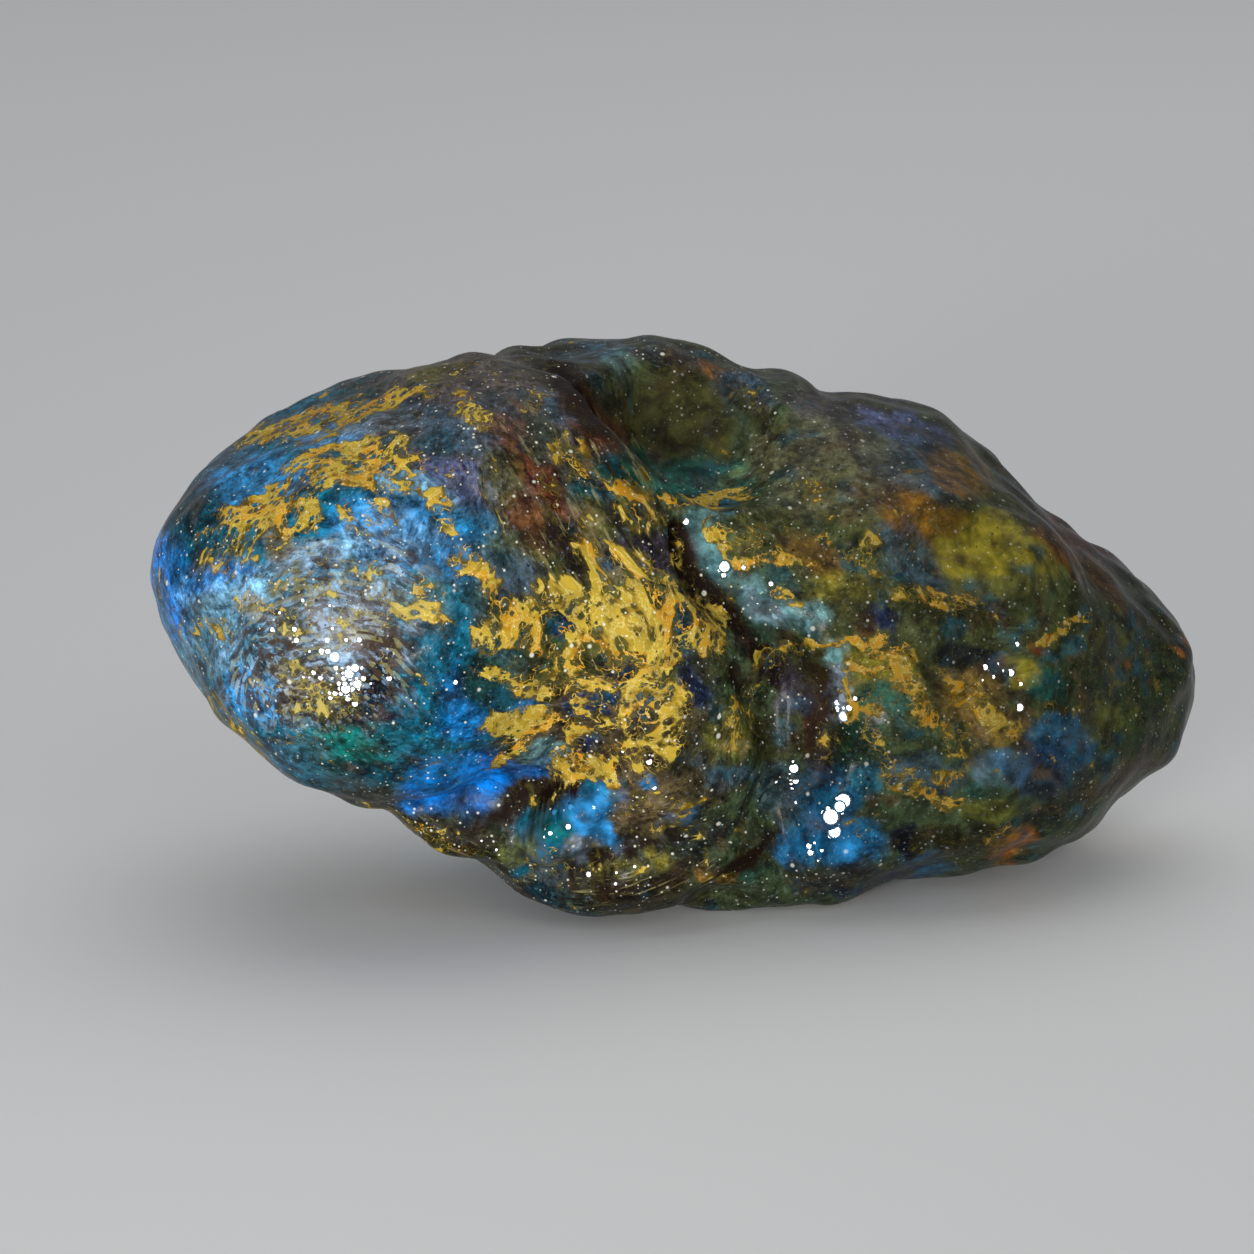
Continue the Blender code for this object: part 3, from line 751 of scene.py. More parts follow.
BELLY_PATCHES = {
    "spot_teal": (885, 622, 16, 14, 0, "navy", 0.9),
    "spot_brown": (868, 628, 12, 9, 0, "rust", 0.6),
    "dark_band": (960, 615, 60, 12, -10, "dark_olive", 0.85),
    "navy_band": (965, 660, 36, 16, -20, "ink", 0.8),
    "blue_band": (1000, 668, 16, 12, 0, "slate", 0.6),
    # painted shade along the crevices
    "crevice_shade_red": (813, 725, 50, 13, 86, "rust", 0.75),
    "crevice_shade": (770, 668, 50, 14, -46, "dark_bark", 1.0),
    "crevice_shade_upper": (712, 602, 60, 15, -52, "dark_bark", 1.0),
    "crevice_shade_foot": (782, 820, 40, 9, 70, "dark_bark", 0.8),
    "lobe_violet": (796, 694, 22, 22, 0, "violet", 0.9),
    "lobe_slate": (800, 702, 16, 14, 0, "slate", 0.75),
    "lobe_olive": (770, 740, 26, 30, 0, "dark_olive", 0.8),
    "lobe_foot": (780, 790, 22, 28, 0, "slate", 0.5),
    "rib_lilac": (838, 660, 14, 20, 0, "pale_teal", 0.85),
    "rib_mauve": (838, 692, 11, 22, 0, "frost", 0.9),
    "plate_sunlit": (878, 662, 34, 18, -8, "sunlit", 0.8),
    "plate_moss": (900, 685, 24, 16, -30, "moss", 0.6),
    "plate_bottle": (884, 700, 26, 20, 0, "emerald", 0.6),
    "plate_dark": (858, 745, 40, 34, 0, "bottle", 0.95),
    "plate_teal": (915, 745, 30, 26, -30, "grey_green", 0.7),
    "plate_slate": (925, 775, 36, 22, 0, "slate", 0.6),
    "low_teal": (864, 786, 24, 18, 0, "teal", 0.75),
    "knob_dark": (820, 770, 14, 30, 0, "dark_olive", 0.9),
    "knob_teal": (826, 800, 34, 36, 0, "petrol", 0.85),
    "knob_azure": (846, 842, 40, 26, 0, "petrol", 1.0),
    "knob_bright": (850, 852, 22, 14, 0, "azure", 0.7),
    "knob_left_azure": (800, 846, 22, 24, 0, "petrol", 0.9),
    "knob_foot": (850, 880, 60, 14, 4, "navy", 0.75),
    "foot_azure": (925, 864, 26, 14, 0, "petrol", 0.7),
    # painted shade in the pit
    "pit_shade": (908, 843, 20, 14, 0, "ink", 1.0),
    "pit_dark": (940, 838, 26, 14, 0, "dark_olive", 0.85),
    "tan_field": (972, 700, 44, 26, -40, "tan", 0.75),
    "tan_lower": (1006, 724, 34, 18, -20, "tan", 0.6),
    "crystal_moss": (1018, 674, 18, 16, 0, "sunlit", 0.95),
    "crystal_green": (1040, 690, 24, 18, 0, "emerald", 0.5),
    "rust_dash": (1036, 640, 9, 14, 30, "rust", 0.9),
    "mist_blue": (1000, 768, 32, 20, 10, "sky", 0.55),
    "mist_azure": (1008, 764, 24, 18, 0, "petrol", 0.5),
    "mist_green": (986, 790, 26, 14, 0, "emerald", 0.5),
    "side_blue": (1066, 744, 36, 26, 10, "petrol", 0.5),
    "side_navy": (1045, 770, 40, 26, 0, "navy", 0.6),
    "side_moss": (1105, 720, 26, 20, 0, "moss", 0.5),
    "low_moss": (992, 812, 30, 14, 10, "moss", 0.7),
    "amber_dark": (984, 838, 34, 14, 20, "dark_bark", 0.7),
    "amber_glow": (1014, 846, 28, 16, 50, "umber", 0.9),
    "amber_heart": (1016, 846, 20, 9, 50, "orange", 1.2),
    "low_slate": (1060, 810, 36, 16, 40, "ink", 0.6),
    # painted shade on the tail's underside
    "tail_underside_shade": (1120, 780, 50, 14, 30, "bark", 0.8),
    "tail_moss": (1095, 640, 50, 20, 0, "olive", 0.6),
    "tail_dot": (1186, 650, 10, 8, -40, "orange", 0.8),
    "tail_orange": (1120, 655, 16, 6, 0, "orange", 0.6),
    "notch_orange": (720, 872, 16, 14, 0, "umber", 0.9),
    "notch_rust": (694, 866, 30, 10, 14, "dark_bark", 0.8),
    "notch_green": (758, 874, 18, 12, 10, "emerald", 0.6),
    "notch_dark": (768, 872, 14, 10, 0, "bottle", 0.8),
}
PAINT_TABLES = (WASHES, HEAD_PATCHES, FLANK_PATCHES, SADDLE_PATCHES, BELLY_PATCHES)
print(sum(len(table) for table in PAINT_TABLES), "washes and patches")

# %% [markdown]
# A patch covers fully in its middle and fades over its last third.  The places are first warped by
# clouds of two sizes, so a patch ends in bays and tongues.  A strength above one fills a patch out
# to a crisp edge.  Paint goes on in the order of the tables, each patch mixing its colour over what
# is there, as glazes do.  Towards the tail the paint is darkened as painted shade, where less light
# falls.  Each warp is listed with its size, its reach in pixels and two seeds, one for each
# direction.

# %% Lay the photographed side's colours
EDGE_WARPS = ((2.6, 9.0, 61, 66), (1.1, 5.0, 71, 76))
PATCH_RIM = 1.22
PATCH_FADE = 0.5
TAIL_SHADE = 0.36
TAIL_SHADE_START = 640
TAIL_SHADE_RUN = 320


def patch_cover(x, y, long, short, tilt):
    """One inside an ellipse in the warped picture, fading to nothing round its rim.  A positive
    tilt lifts its right-hand end."""
    angle = np.radians(tilt)
    across, up = warped_right - x, y - warped_down
    along = (across * np.cos(angle) + up * np.sin(angle)) / long
    aside = (up * np.cos(angle) - across * np.sin(angle)) / short
    return smooth((PATCH_RIM - np.hypot(along, aside)) / PATCH_FADE)


warped_right, warped_down = right.copy(), down.copy()
for size, reach, right_seed, down_seed in EDGE_WARPS:
    warped_right += reach * clouds(skin, size, right_seed)
    warped_down += reach * clouds(skin, size, down_seed)
front_paint = np.tile(linear("grey_green"), (len(skin), 1))
for table in PAINT_TABLES:
    for x, y, long, short, tilt, colour, strength in table.values():
        cover = np.minimum(strength * patch_cover(x, y, long, short, tilt), 1.0)[:, None]
        front_paint += cover * (linear(colour) - front_paint)
tailward = smooth((warped_right - TAIL_SHADE_START) / TAIL_SHADE_RUN)
# painted shade: the paint is darkened towards the tail
front_paint *= 1.0 - TAIL_SHADE * tailward[:, None]
print("mean colour of the painted side:", front_paint.mean(axis=0).round(3))

# %% [markdown]
# Nobody photographed the back, the top and the underside, so there the same colours are scattered
# with seeded random numbers: blues and teals on the head, olives, teals and browns further along.
# First the skin is divided: how hidden each vertex is, and how far it belongs to the head.  Clouds
# push both borders about.

# %% Find the hidden sides
HIDDEN_START = 0.10
HIDDEN_FADE = 0.45
HIDDEN_WAVER = (0.12, 5.0, 81)
HEAD_END = -7.0
HEAD_FADE = 6.0
HEAD_WAVER = (2.0, 5.0, 85)


def wavering(strength, size, seed):
    return strength * clouds(skin, size, seed)


hidden = smooth((HIDDEN_START - facing + wavering(*HIDDEN_WAVER)) / HIDDEN_FADE)
hidden_vertices = np.flatnonzero(hidden > 0.5)
head_share = HEAD_END + HEAD_FADE / 2.0 - skin[:, 0] + wavering(*HEAD_WAVER)
head_share = smooth(head_share / HEAD_FADE)[:, None]
print(len(hidden_vertices), "of", len(skin), "vertices are hidden")

# %% [markdown]
# A scattered patch is a ball of space around a vertex, so it wraps round any bend in the skin.
# Last, small clouds of teal, brown and olive drift over everything, because the colour lies at
# different depths in the resin.

# %% Scatter colours over the hidden sides
HEAD_COLOURS = ("azure", "teal", "deep_teal", "slate", "royal", "emerald", "sky", "mauve",
                "dark_olive")
BODY_COLOURS = ("olive", "dark_olive", "deep_teal", "bark", "slate", "bottle", "grey_green",
                "mauve", "rust", "sunlit", "pale_teal", "umber")
SCATTER_SEED = 2024
SCATTER_COUNT = 110
SCATTER_RADIUS = (2.0, 6.5)
SCATTER_STRENGTH = (0.5, 0.9)
SCATTER_FLATNESS = (0.8, 2.2)
BALL_WAVER = (0.35, 2.6)
BALL_SEEDS = (100, 110, 120, 130, 140)
DRIFTS = ((2.2, 151, "deep_teal"), (1.4, 161, "bark"), (3.0, 171, "dark_olive"))
DRIFT_STRENGTH = 0.6
DRIFT_START = 0.35
DRIFT_FADE = 0.5
scatter = np.random.default_rng(SCATTER_SEED)
wavy_distances = [1.0 + wavering(*BALL_WAVER, seed) for seed in BALL_SEEDS]


def ball_cover(centre, radius, flatness, number):
    """One near a vertex, fading to nothing at a wavy distance of about the radius."""
    gap = skin - centre
    gap[:, 2] *= flatness
    distance = np.linalg.norm(gap, axis=1) * wavy_distances[number % len(wavy_distances)]
    return smooth((PATCH_RIM - distance / radius) / PATCH_FADE)


hidden_paint = linear("grey_green") + head_share * (linear("teal") - linear("grey_green"))
for number in range(SCATTER_COUNT):
    centre = skin[hidden_vertices[scatter.integers(len(hidden_vertices))]]
    names = HEAD_COLOURS if centre[0] < HEAD_END else BODY_COLOURS
    colour = linear(names[scatter.integers(len(names))])
    radius = scatter.uniform(*SCATTER_RADIUS)
    strength = scatter.uniform(*SCATTER_STRENGTH)
    cover = strength * ball_cover(centre, radius, scatter.uniform(*SCATTER_FLATNESS), number)
    hidden_paint += cover[:, None] * (colour - hidden_paint)
resin_paint = front_paint + hidden[:, None] * (hidden_paint - front_paint)
for size, seed, name in DRIFTS:
    drift = smooth((clouds(skin, size, seed) - DRIFT_START) / DRIFT_FADE)[:, None]
    resin_paint += DRIFT_STRENGTH * drift * (linear(name) - resin_paint)
print(SCATTER_COUNT, "patches scattered over the hidden sides")

# %% [markdown]
# The ochre crust is a thin film of weathered resin that has flaked off most of the lump.  What is
# painted here is only how much of it is left: 0 where it is gone and 1 where it is whole.  The
# material later turns that number into a lace with sharp points and round holes.

# %% List where the crust is left
CRUST_HEAD = {
    "crown_band": (336, 413, 100, 14, 18, 0.80),
    "crown_band_end": (412, 392, 40, 7, 6, 0.55),
    "temple_band": (262, 436, 40, 9, 24, 0.60),
    "second_band": (358, 462, 80, 26, 4, 0.76),
    "second_band_left": (310, 486, 50, 10, 6, 0.50),
    "second_band_knot": (372, 476, 26, 16, -30, 0.75),
    "third_band": (270, 508, 52, 14, 4, 0.86),
    "third_band_end": (302, 510, 18, 13, 20, 0.92),
    "third_shadow": (262, 528, 60, 18, 8, 0.58),
    "drop_left": (352, 514, 12, 10, 30, 0.80),
    "drop_right": (378, 510, 9, 14, 0, 0.78),
    "arc_top": (420, 493, 36, 9, -16, 0.72),
    "arc_hook": (446, 524, 18, 14, -40, 0.66),
    "arc_dots": (462, 478, 30, 14, -30, 0.35),
    "cheek_scrape": (225, 562, 34, 14, 20, 0.48),
    "cheek_knot": (248, 604, 24, 12, 10, 0.58),
    "cheek_low": (212, 630, 20, 12, -20, 0.54),
    "frost_worms": (330, 600, 90, 50, 0, 0.37),
    "nose_worms": (312, 690, 60, 30, -10, 0.44),
    "star_right": (430, 590, 14, 12, 0, 0.80),
    "finger": (404, 606, 8, 20, 10, 0.74),
    "smear_right": (424, 618, 22, 10, -8, 0.72),
    "smear_upper": (380, 528, 34, 12, 8, 0.50),
    "jaw_streaks": (236, 732, 60, 16, -48, 0.46),
    "nose_flake": (384, 668, 8, 16, 0, 0.45),
    "chin_streaks": (300, 742, 50, 10, -24, 0.30),
}
CRUST_FLANK = {
    "crest_dots": (452, 374, 80, 18, 4, 0.30),
    "crest_flake": (474, 408, 26, 11, -34, 0.62),
    "crest_hook": (538, 400, 26, 10, 40, 0.50),
    "tongue": (492, 590, 52, 12, -56, 0.92),
    "tongue_root": (470, 572, 20, 16, 0, 0.70),
    "tongue_end": (512, 628, 30, 16, -40, 0.62),
    "left_flakes": (486, 640, 16, 26, 0, 0.62),
    "stem": (604, 596, 60, 11, -68, 0.97),
    "stem_top": (590, 548, 40, 12, -58, 0.55),
    "main_mass": (648, 622, 54, 40, -24, 0.92),
    "main_left": (556, 612, 46, 44, -20, 0.62),
    "main_low": (620, 655, 60, 24, -10, 0.78),
    "lace_upper": (640, 566, 56, 18, -30, 0.62),
    "lace_right": (684, 612, 44, 20, -34, 0.70),
    "right_point": (700, 640, 26, 14, -20, 0.66),
    "lace_middle": (622, 700, 52, 36, -10, 0.62),
    "lace_low": (662, 720, 26, 46, 0, 0.70),
    "thorn_upper": (676, 692, 14, 20, 0, 0.72),
    "crystal_flakes": (730, 732, 15, 22, 10, 0.58),
    "window_web": (560, 678, 40, 18, 0, 0.52),
    "ledge": (524, 682, 46, 9, -8, 0.86),
    "ledge_knot": (540, 690, 24, 12, 0, 0.80),
    "leaf": (520, 724, 38, 16, 10, 1.10),
    "leaf_right": (552, 722, 20, 9, -14, 0.92),
    "leaf_fringe": (512, 752, 24, 8, 34, 0.82),
    "seam_thread": (576, 734, 10, 34, -14, 0.84),
    "claws": (586, 770, 36, 13, -10, 0.86),
    "claw_tip": (606, 782, 12, 20, 20, 0.90),
    "web_right": (640, 752, 34, 30, 0, 0.50),
    "foot_lace": (648, 800, 44, 30, 0, 0.34),
    "bubble_flakes": (560, 800, 30, 8, 20, 0.34),
    "bubble_rim": (552, 850, 30, 8, 14, 0.40),
    "keel_streaks": (560, 868, 110, 8, 6, 0.34),
    "keel_left": (420, 832, 70, 12, -28, 0.42),
    "rim_left": (566, 466, 12, 22, 40, 0.66),
    "rim_knot": (628, 488, 26, 16, -20, 0.74),
    "rim": (694, 500, 58, 8, 3, 0.98),
    "rim_end": (728, 494, 20, 5, 24, 0.80),
    "rim_foot": (640, 516, 40, 10, -14, 0.52),
    "streaks_upper": (590, 470, 50, 16, -56, 0.44),
    "streaks_lower": (560, 520, 60, 14, -58, 0.36),
}
CRUST_RIGHT = {
    "bank_flake": (680, 549, 7, 16, 20, 0.80),
    "bank_star": (720, 528, 16, 9, 10, 0.66),
    "bank_streak": (770, 563, 48, 8, -10, 0.92),
    "bank_web": (752, 540, 30, 10, 0, 0.44),
    "bank_low": (796, 599, 22, 8, -20, 0.60),
    "slope_thread": (862, 566, 34, 9, -30, 0.52),
    "slope_knot": (872, 552, 12, 12, 0, 0.58),
    "plate_line": (846, 644, 48, 6, 2, 0.94),
    "plate_corner": (900, 652, 20, 12, -40, 0.80),
    "plate_field": (872, 684, 38, 32, -20, 0.40),
    "plate_star": (876, 717, 13, 11, 0, 0.84),
    "plate_star_left": (849, 712, 11, 9, 0, 0.74),
    "plate_knot": (860, 665, 20, 9, 0, 0.62),
    "thread_one": (908, 694, 50, 10, -66, 0.62),
    "thread_two": (930, 712, 60, 8, -60, 0.66),
    "thread_three": (886, 752, 40, 8, -50, 0.56),
    "thread_foot": (908, 786, 30, 14, -30, 0.60),
    "thread_hook": (948, 772, 16, 9, 30, 0.66),
    "tan_crust": (968, 694, 46, 14, -36, 0.62),
    "tan_lower": (1002, 722, 38, 14, -26, 0.62),
    "tan_left": (958, 736, 26, 18, 0, 0.42),
    "tan_edge": (1060, 714, 26, 12, 0, 0.42),
    "valley_web": (940, 602, 50, 12, -6, 0.56),
    "valley_right": (1058, 630, 40, 7, 12, 0.60),
    "slope_dust": (870, 520, 90, 50, -20, 0.20),
    "crevice_flakes": (826, 730, 8, 40, 0, 0.40),
    "lobe_flakes": (778, 660, 30, 12, 20, 0.50),
    "lobe_low": (748, 712, 20, 30, 0, 0.36),
    "tail_dust": (1130, 690, 70, 50, 0, 0.18),
    "notch_crust": (716, 876, 12, 8, 0, 0.30),
    "glow_crust": (1002, 836, 20, 16, 40, 0.40),
    "low_crust": (942, 806, 24, 10, 0, 0.50),
    "knob_flake": (858, 836, 14, 6, 10, 0.40),
}
CRUST_TABLES = (CRUST_HEAD, CRUST_FLANK, CRUST_RIGHT)
print(sum(len(table) for table in CRUST_TABLES), "places where crust is left")

# %% [markdown]
# Where two places overlap, the fuller one counts.  The hidden sides get their own crust, in short
# bands that follow the flow lines of the resin, so a band is longer along the lump than round it.

# %% Lay the crust
CRUST_DUST = 0.08
CRUST_SCATTER = 80
CRUST_RADIUS = (1.2, 4.6)
CRUST_FLATNESS = (1.5, 3.5)
CRUST_SHARE = (0.45, 0.95)
front_crust = np.full(len(skin), CRUST_DUST)
for table in CRUST_TABLES:
    for x, y, long, short, tilt, left in table.values():
        front_crust = np.maximum(front_crust, left * patch_cover(x, y, long, short, tilt))
hidden_crust = np.full(len(skin), CRUST_DUST)
for number in range(CRUST_SCATTER):
    centre = skin[hidden_vertices[scatter.integers(len(hidden_vertices))]]
    radius, flatness = scatter.uniform(*CRUST_RADIUS), scatter.uniform(*CRUST_FLATNESS)
    cover = ball_cover(centre, radius, flatness, number)
    hidden_crust = np.maximum(hidden_crust, scatter.uniform(*CRUST_SHARE) * cover)
crust_left = front_crust + hidden * (hidden_crust - front_crust)
print("share of the skin with crust over 0.5:", (crust_left > 0.5).mean().round(3))

# %% [markdown]
# A few more numbers tell the material what kind of skin it is on: how deep in a crease or a dark
# seam, which it darkens as painted shade, how frosted (the pale nose of the head), how much it
# shows drawn-out flow lines or layers, where light seems to come out of the resin, how many specks
# and painted glints it has, how dull its crust is and how far it is darkened as painted shade, and
# how calm its colours are.  They are listed as the crust is, each place with its strength.

# %% List the marks
FROST = {"brow": (350, 585, 90, 50, 0, 0.8), "nose": (320, 660, 104, 74, 0, 1.0)}
DRAWN = {
    "flank": (560, 490, 110, 84, -56, 1.0), "flank_low": (610, 620, 70, 60, -58, 0.7),
    "jaw": (232, 735, 90, 24, -48, 0.9), "left_rim": (180, 620, 90, 26, -72, 0.8),
}
LAYERED = {"keel": (570, 880, 190, 34, 4, 1.0), "keel_left": (430, 835, 80, 20, -28, 1.0)}
GLOW = {
    "great_azure": (398, 534, 60, 30, 0, 0.7), "cheek": (222, 588, 44, 26, 0, 2.4),
    "rim": (166, 570, 50, 14, -76, 0.9), "chin": (480, 784, 60, 20, 10, 1.0),
    "jaw": (246, 690, 28, 20, 0, 2.2), "bubble": (596, 814, 14, 20, 0, 0.8),
    "amber": (1018, 848, 18, 10, 50, 1.0), "swell": (1000, 555, 50, 34, 0, 0.4),
}
CALM = {
    "bubble": (567, 826, 60, 34, 36, 0.8), "basin": (668, 424, 80, 56, 0, 0.8),
    "swell": (1000, 555, 90, 60, -10, 0.7), "bank": (740, 576, 70, 30, -45, 0.5),
    "mist": (1010, 770, 90, 40, 0, 0.7), "knob": (830, 830, 50, 60, 0, 0.5),
    "chin": (470, 784, 70, 26, 8, 0.5), "tail": (1120, 680, 100, 120, 0, 0.7),
}
# seams that the material darkens as painted shade, as it does the creases
SHADED_SEAMS = {
    "over_bubble": (522, 801, 60, 9, 22, 1.0), "under_bubble": (602, 858, 54, 5, 26, 0.9),
    "basin_wall": (582, 400, 50, 13, -52, 0.75),
}
UNSPECKLED = {"basin": (660, 420, 90, 60, 0, 0.7)}
DULL_AND_SHADED_PLACES = {"crown_band": (336, 413, 110, 24, 18, 0.35), "basin": (660, 430, 100, 70, 0, 0.8)}
MARKS = (FROST, DRAWN, LAYERED, GLOW, CALM, SHADED_SEAMS, UNSPECKLED, DULL_AND_SHADED_PLACES)
print(sum(len(table) for table in MARKS), "marks of", len(MARKS), "kinds")

# %% [markdown]
# A mark counts as far as its patch covers, and where two overlap, the stronger one does.  Towards
# the tail, which lies out of the sharp light, there are fewer specks and painted glints, calmer
# colours and a duller crust, darkened as painted shade.  On the hidden sides the underside is
# layered as the keel is, and clouds say where the flow is drawn out.

# %% Mark frost, flow and glow
TAIL_SPECKS_AND_GLINTS_LOST = 0.72
TAIL_CALM = 0.45
LAYER_TOP = 9.0
LAYER_FADE = 5.0
FLOW_WAVER = (1.0, 9.0, 91)
HIDDEN_FLOW = 0.7


def greatest(table):
    """The greatest of a table's strengths, each times its patch's cover, on the side in view."""
    result = np.zeros(len(skin))
    for x, y, long, short, tilt, strength in table.values():
        result = np.maximum(result, strength * patch_cover(x, y, long, short, tilt))
    return result * (1.0 - hidden)


frosted, drawn, layered, glowing = (greatest(table) for table in (FROST, DRAWN, LAYERED, GLOW))
tail_in_view = tailward * (1.0 - hidden)
speck_and_glint_share = 1.0 - TAIL_SPECKS_AND_GLINTS_LOST * tailward - greatest(UNSPECKLED)
dull_and_shaded = np.maximum(tail_in_view, greatest(DULL_AND_SHADED_PLACES))
calm = np.maximum(TAIL_CALM * tail_in_view, greatest(CALM))
underside = smooth((LAYER_TOP - skin[:, 2]) / LAYER_FADE)
layered = np.maximum(layered * (1.0 - calm), hidden * underside)
drawn = np.maximum(drawn, HIDDEN_FLOW * hidden * smooth(0.5 + wavering(*FLOW_WAVER)))
creased = np.maximum(deepest(swayed(skin), CREASES), greatest(SHADED_SEAMS))
print("vertices frosted", (frosted > 0.5).sum(), "drawn", (drawn > 0.5).sum(),
      "layered", (layered > 0.5).sum())

# %% [markdown]
# Flow lines need directions, so each vertex also gets a few places in stretched spaces, where a
# plain noise comes out as rings round the nose, lines down the flank or layers along the keel.
# Broad warps are worked out here, once for each vertex, because in the material they would cost
# time for every ray of light.  A warp is listed with its size, its reach and its seed.

# %% Draw the nose's rings
NOSE = np.array([-21.0, -16.0, 15.5])
NOSE_AXIS = np.array([-0.30, -0.90, -0.20])
RING_ROUND = 3.0
RING_OUT = 1.6
RING_WARP = (2.0, 0.5, 261)
WARP_SEED_STEP = 10


def pushed(points, warp):
    """Points moved by clouds of the warp's size, as far as its reach, apart along X, Y and Z."""
    size, reach, seed = warp
    push = [cloud(skin, size, seed + WARP_SEED_STEP * number) for number in range(3)]
    return points + reach * np.stack(push, axis=1)


axis = unit(NOSE_AXIS)
offset = skin - NOSE
reach = np.linalg.norm(offset - (offset @ axis)[:, None] * axis, axis=1)
side = unit(np.cross(axis, [0.0, 0.0, 1.0]))
turn = np.arctan2(offset @ np.cross(side, axis), offset @ side)
ring_place = [RING_ROUND * np.cos(turn), RING_ROUND * np.sin(turn), RING_OUT * reach]
ring_place = pushed(np.stack(ring_place, axis=1), RING_WARP)
print("the nose's rings reach", reach.max().round(1), "units out")

# %% [markdown]
# Along the flank a place changes slowly down the flow and fast across it.  On the keel it changes
# fast with the height over a sagging line.  The crust's place is squeezed along the flank's flow,
# so that its flakes are drawn out too.

# %% Stretch the flank, the keel and the flakes
FLANK_MIDDLE = np.array([-6.0, -12.0, 22.0])
FLANK_LINE = np.array([0.50, 0.0, -0.86])
FLOW_STRETCH = (0.25, 1.5, 0.5)
KEEL_MIDDLE = -7.3
KEEL_SAG = 0.034
LAYER_STRETCH = (0.3, 0.3, 2.6)
FLAKE_KEEP = 0.5
FLAKE_WARP = (2.2, 0.55, 231)
WANDER = (3.4, 1.0, 201)


def squeezed(points, share, middle, line, keep):
    """Points brought together along a line, to keep times the distance from a middle."""
    along = (skin - middle) @ unit(line)
    return points - (share * (1.0 - keep) * along)[:, None] * unit(line)


flank_across = np.cross(FLANK_LINE, [0.0, 1.0, 0.0])
flow_place = np.stack([skin @ FLANK_LINE, skin @ flank_across, skin[:, 1]], axis=1) * FLOW_STRETCH
layer_height = skin[:, 2] - KEEL_SAG * (skin[:, 0] - KEEL_MIDDLE) ** 2
layer_place = np.stack([skin[:, 0], skin[:, 1], layer_height], axis=1) * LAYER_STRETCH
flow_place = np.where((layered > drawn)[:, None], layer_place, flow_place)
flowing = np.maximum(drawn, layered)
flake_place = pushed(squeezed(skin, drawn, FLANK_MIDDLE, FLANK_LINE, FLAKE_KEEP), FLAKE_WARP)
wander_place = pushed(skin, WANDER)
print("flakes are pushed by up to", np.abs(flake_place - skin).max().round(2), "units")

# %% [markdown]
# A globe's faces are squares between neighbouring rows and columns, with a fan of triangles round
# each pole, and a bead is a small globe too.  The order of a face's corners says which side is its
# outside, so the skin's faces, whose rows run the other way, are turned round.

# %% Make the faces
def globe_faces(rows, columns, start):
    """Square faces (row, column), (row, column + 1), (row + 1, column + 1), (row + 1, column), then
    the fans of the first and the last pole.  The first corner has the number start."""
    row, column = np.meshgrid(np.arange(rows - 1), np.arange(columns), indexing="ij")
    after = (column + 1) % columns
    corners = [row * columns + column, row * columns + after]
    corners += [corners[1] + columns, corners[0] + columns]
    squares = start + np.stack(corners, axis=-1).reshape(-1, 4)
    ring = np.arange(columns)
    after = (ring + 1) % columns
    pole = np.full(columns, rows * columns)
    end = (rows - 1) * columns
    first = start + np.stack([pole, after, ring], axis=1)
    last = start + np.stack([pole + 1, end + ring, end + after], axis=1)
    return squares.tolist() + first.tolist() + last.tolist()


faces = [corners[::-1] for corners in globe_faces(ROWS, COLUMNS, 0)]
for number in range(len(bead_corners)):
    start = len(skin) + number * bead_corners.shape[1]
    faces += globe_faces(len(BEAD_ANGLES), BEAD_SIDES, start)
print(len(faces), "faces")

# %% [markdown]
# The points and the faces go into one mesh, with nothing below the level it rests on.  The colours
# and numbers are stored on the vertices as attributes, under names that the material can ask for.
# A bead takes its skin vertex's numbers, apart from being wet and bare.

# %% Build the lump's skin
FOOT_LEVEL = 0.0
BARE_ON_BEADS = ("crust_left", "speck_and_glint_share", "creased")


def add_attribute(mesh, name, values):
    """One number for each vertex, or a row of three."""
    kind, field = ("FLOAT", "value") if values.ndim == 1 else ("FLOAT_VECTOR", "vector")
    stored_values = mesh.attributes.new(name, kind, "POINT")
    stored_values.data.foreach_set(field, values.astype(np.float32).ravel())


points = np.concatenate([amber_points, bead_corners.reshape(-1, 3)])
points[:, 2] = np.maximum(points[:, 2], FOOT_LEVEL)
mesh = bpy.data.meshes.new("amber_skin")
mesh.from_pydata(((points - FOOT_MIDDLE) * UNIT).tolist(), [], faces)
mesh.shade_smooth()
owners = np.repeat([vertex for vertex, _ in bead_places], bead_corners.shape[1])
for name, values in {
    "resin_paint": resin_paint, "crust_left": crust_left, "frosted": frosted, "flowing": flowing,
    "glowing": glowing, "creased": creased, "speck_and_glint_share": speck_and_glint_share, "dull_and_shaded": dull_and_shaded, "calm": calm,
    "ring_place": ring_place, "flow_place": flow_place, "flake_place": flake_place,
    "wander_place": wander_place,
}.items():
    on_beads = values[owners] * (0.0 if name in BARE_ON_BEADS else 1.0)
    add_attribute(mesh, name, np.concatenate([values, on_beads]))
add_attribute(mesh, "wet", np.concatenate([np.zeros(len(skin)), np.ones(len(owners))]))
amber_skin = bpy.data.objects.new("amber_skin", mesh)
bpy.context.scene.collection.objects.link(amber_skin)
mesh.calc_loop_triangles()
print("amber_skin has", len(mesh.loop_triangles), "triangles")

# %% [markdown]
# A material is a graph of nodes, and most of them do arithmetic.  Written node by node it is hard
# to read, so a small class wraps a node's output and turns Python's operators into Math nodes.  One
# method makes every other node: its kind, its settings, and the values or links of its sockets.

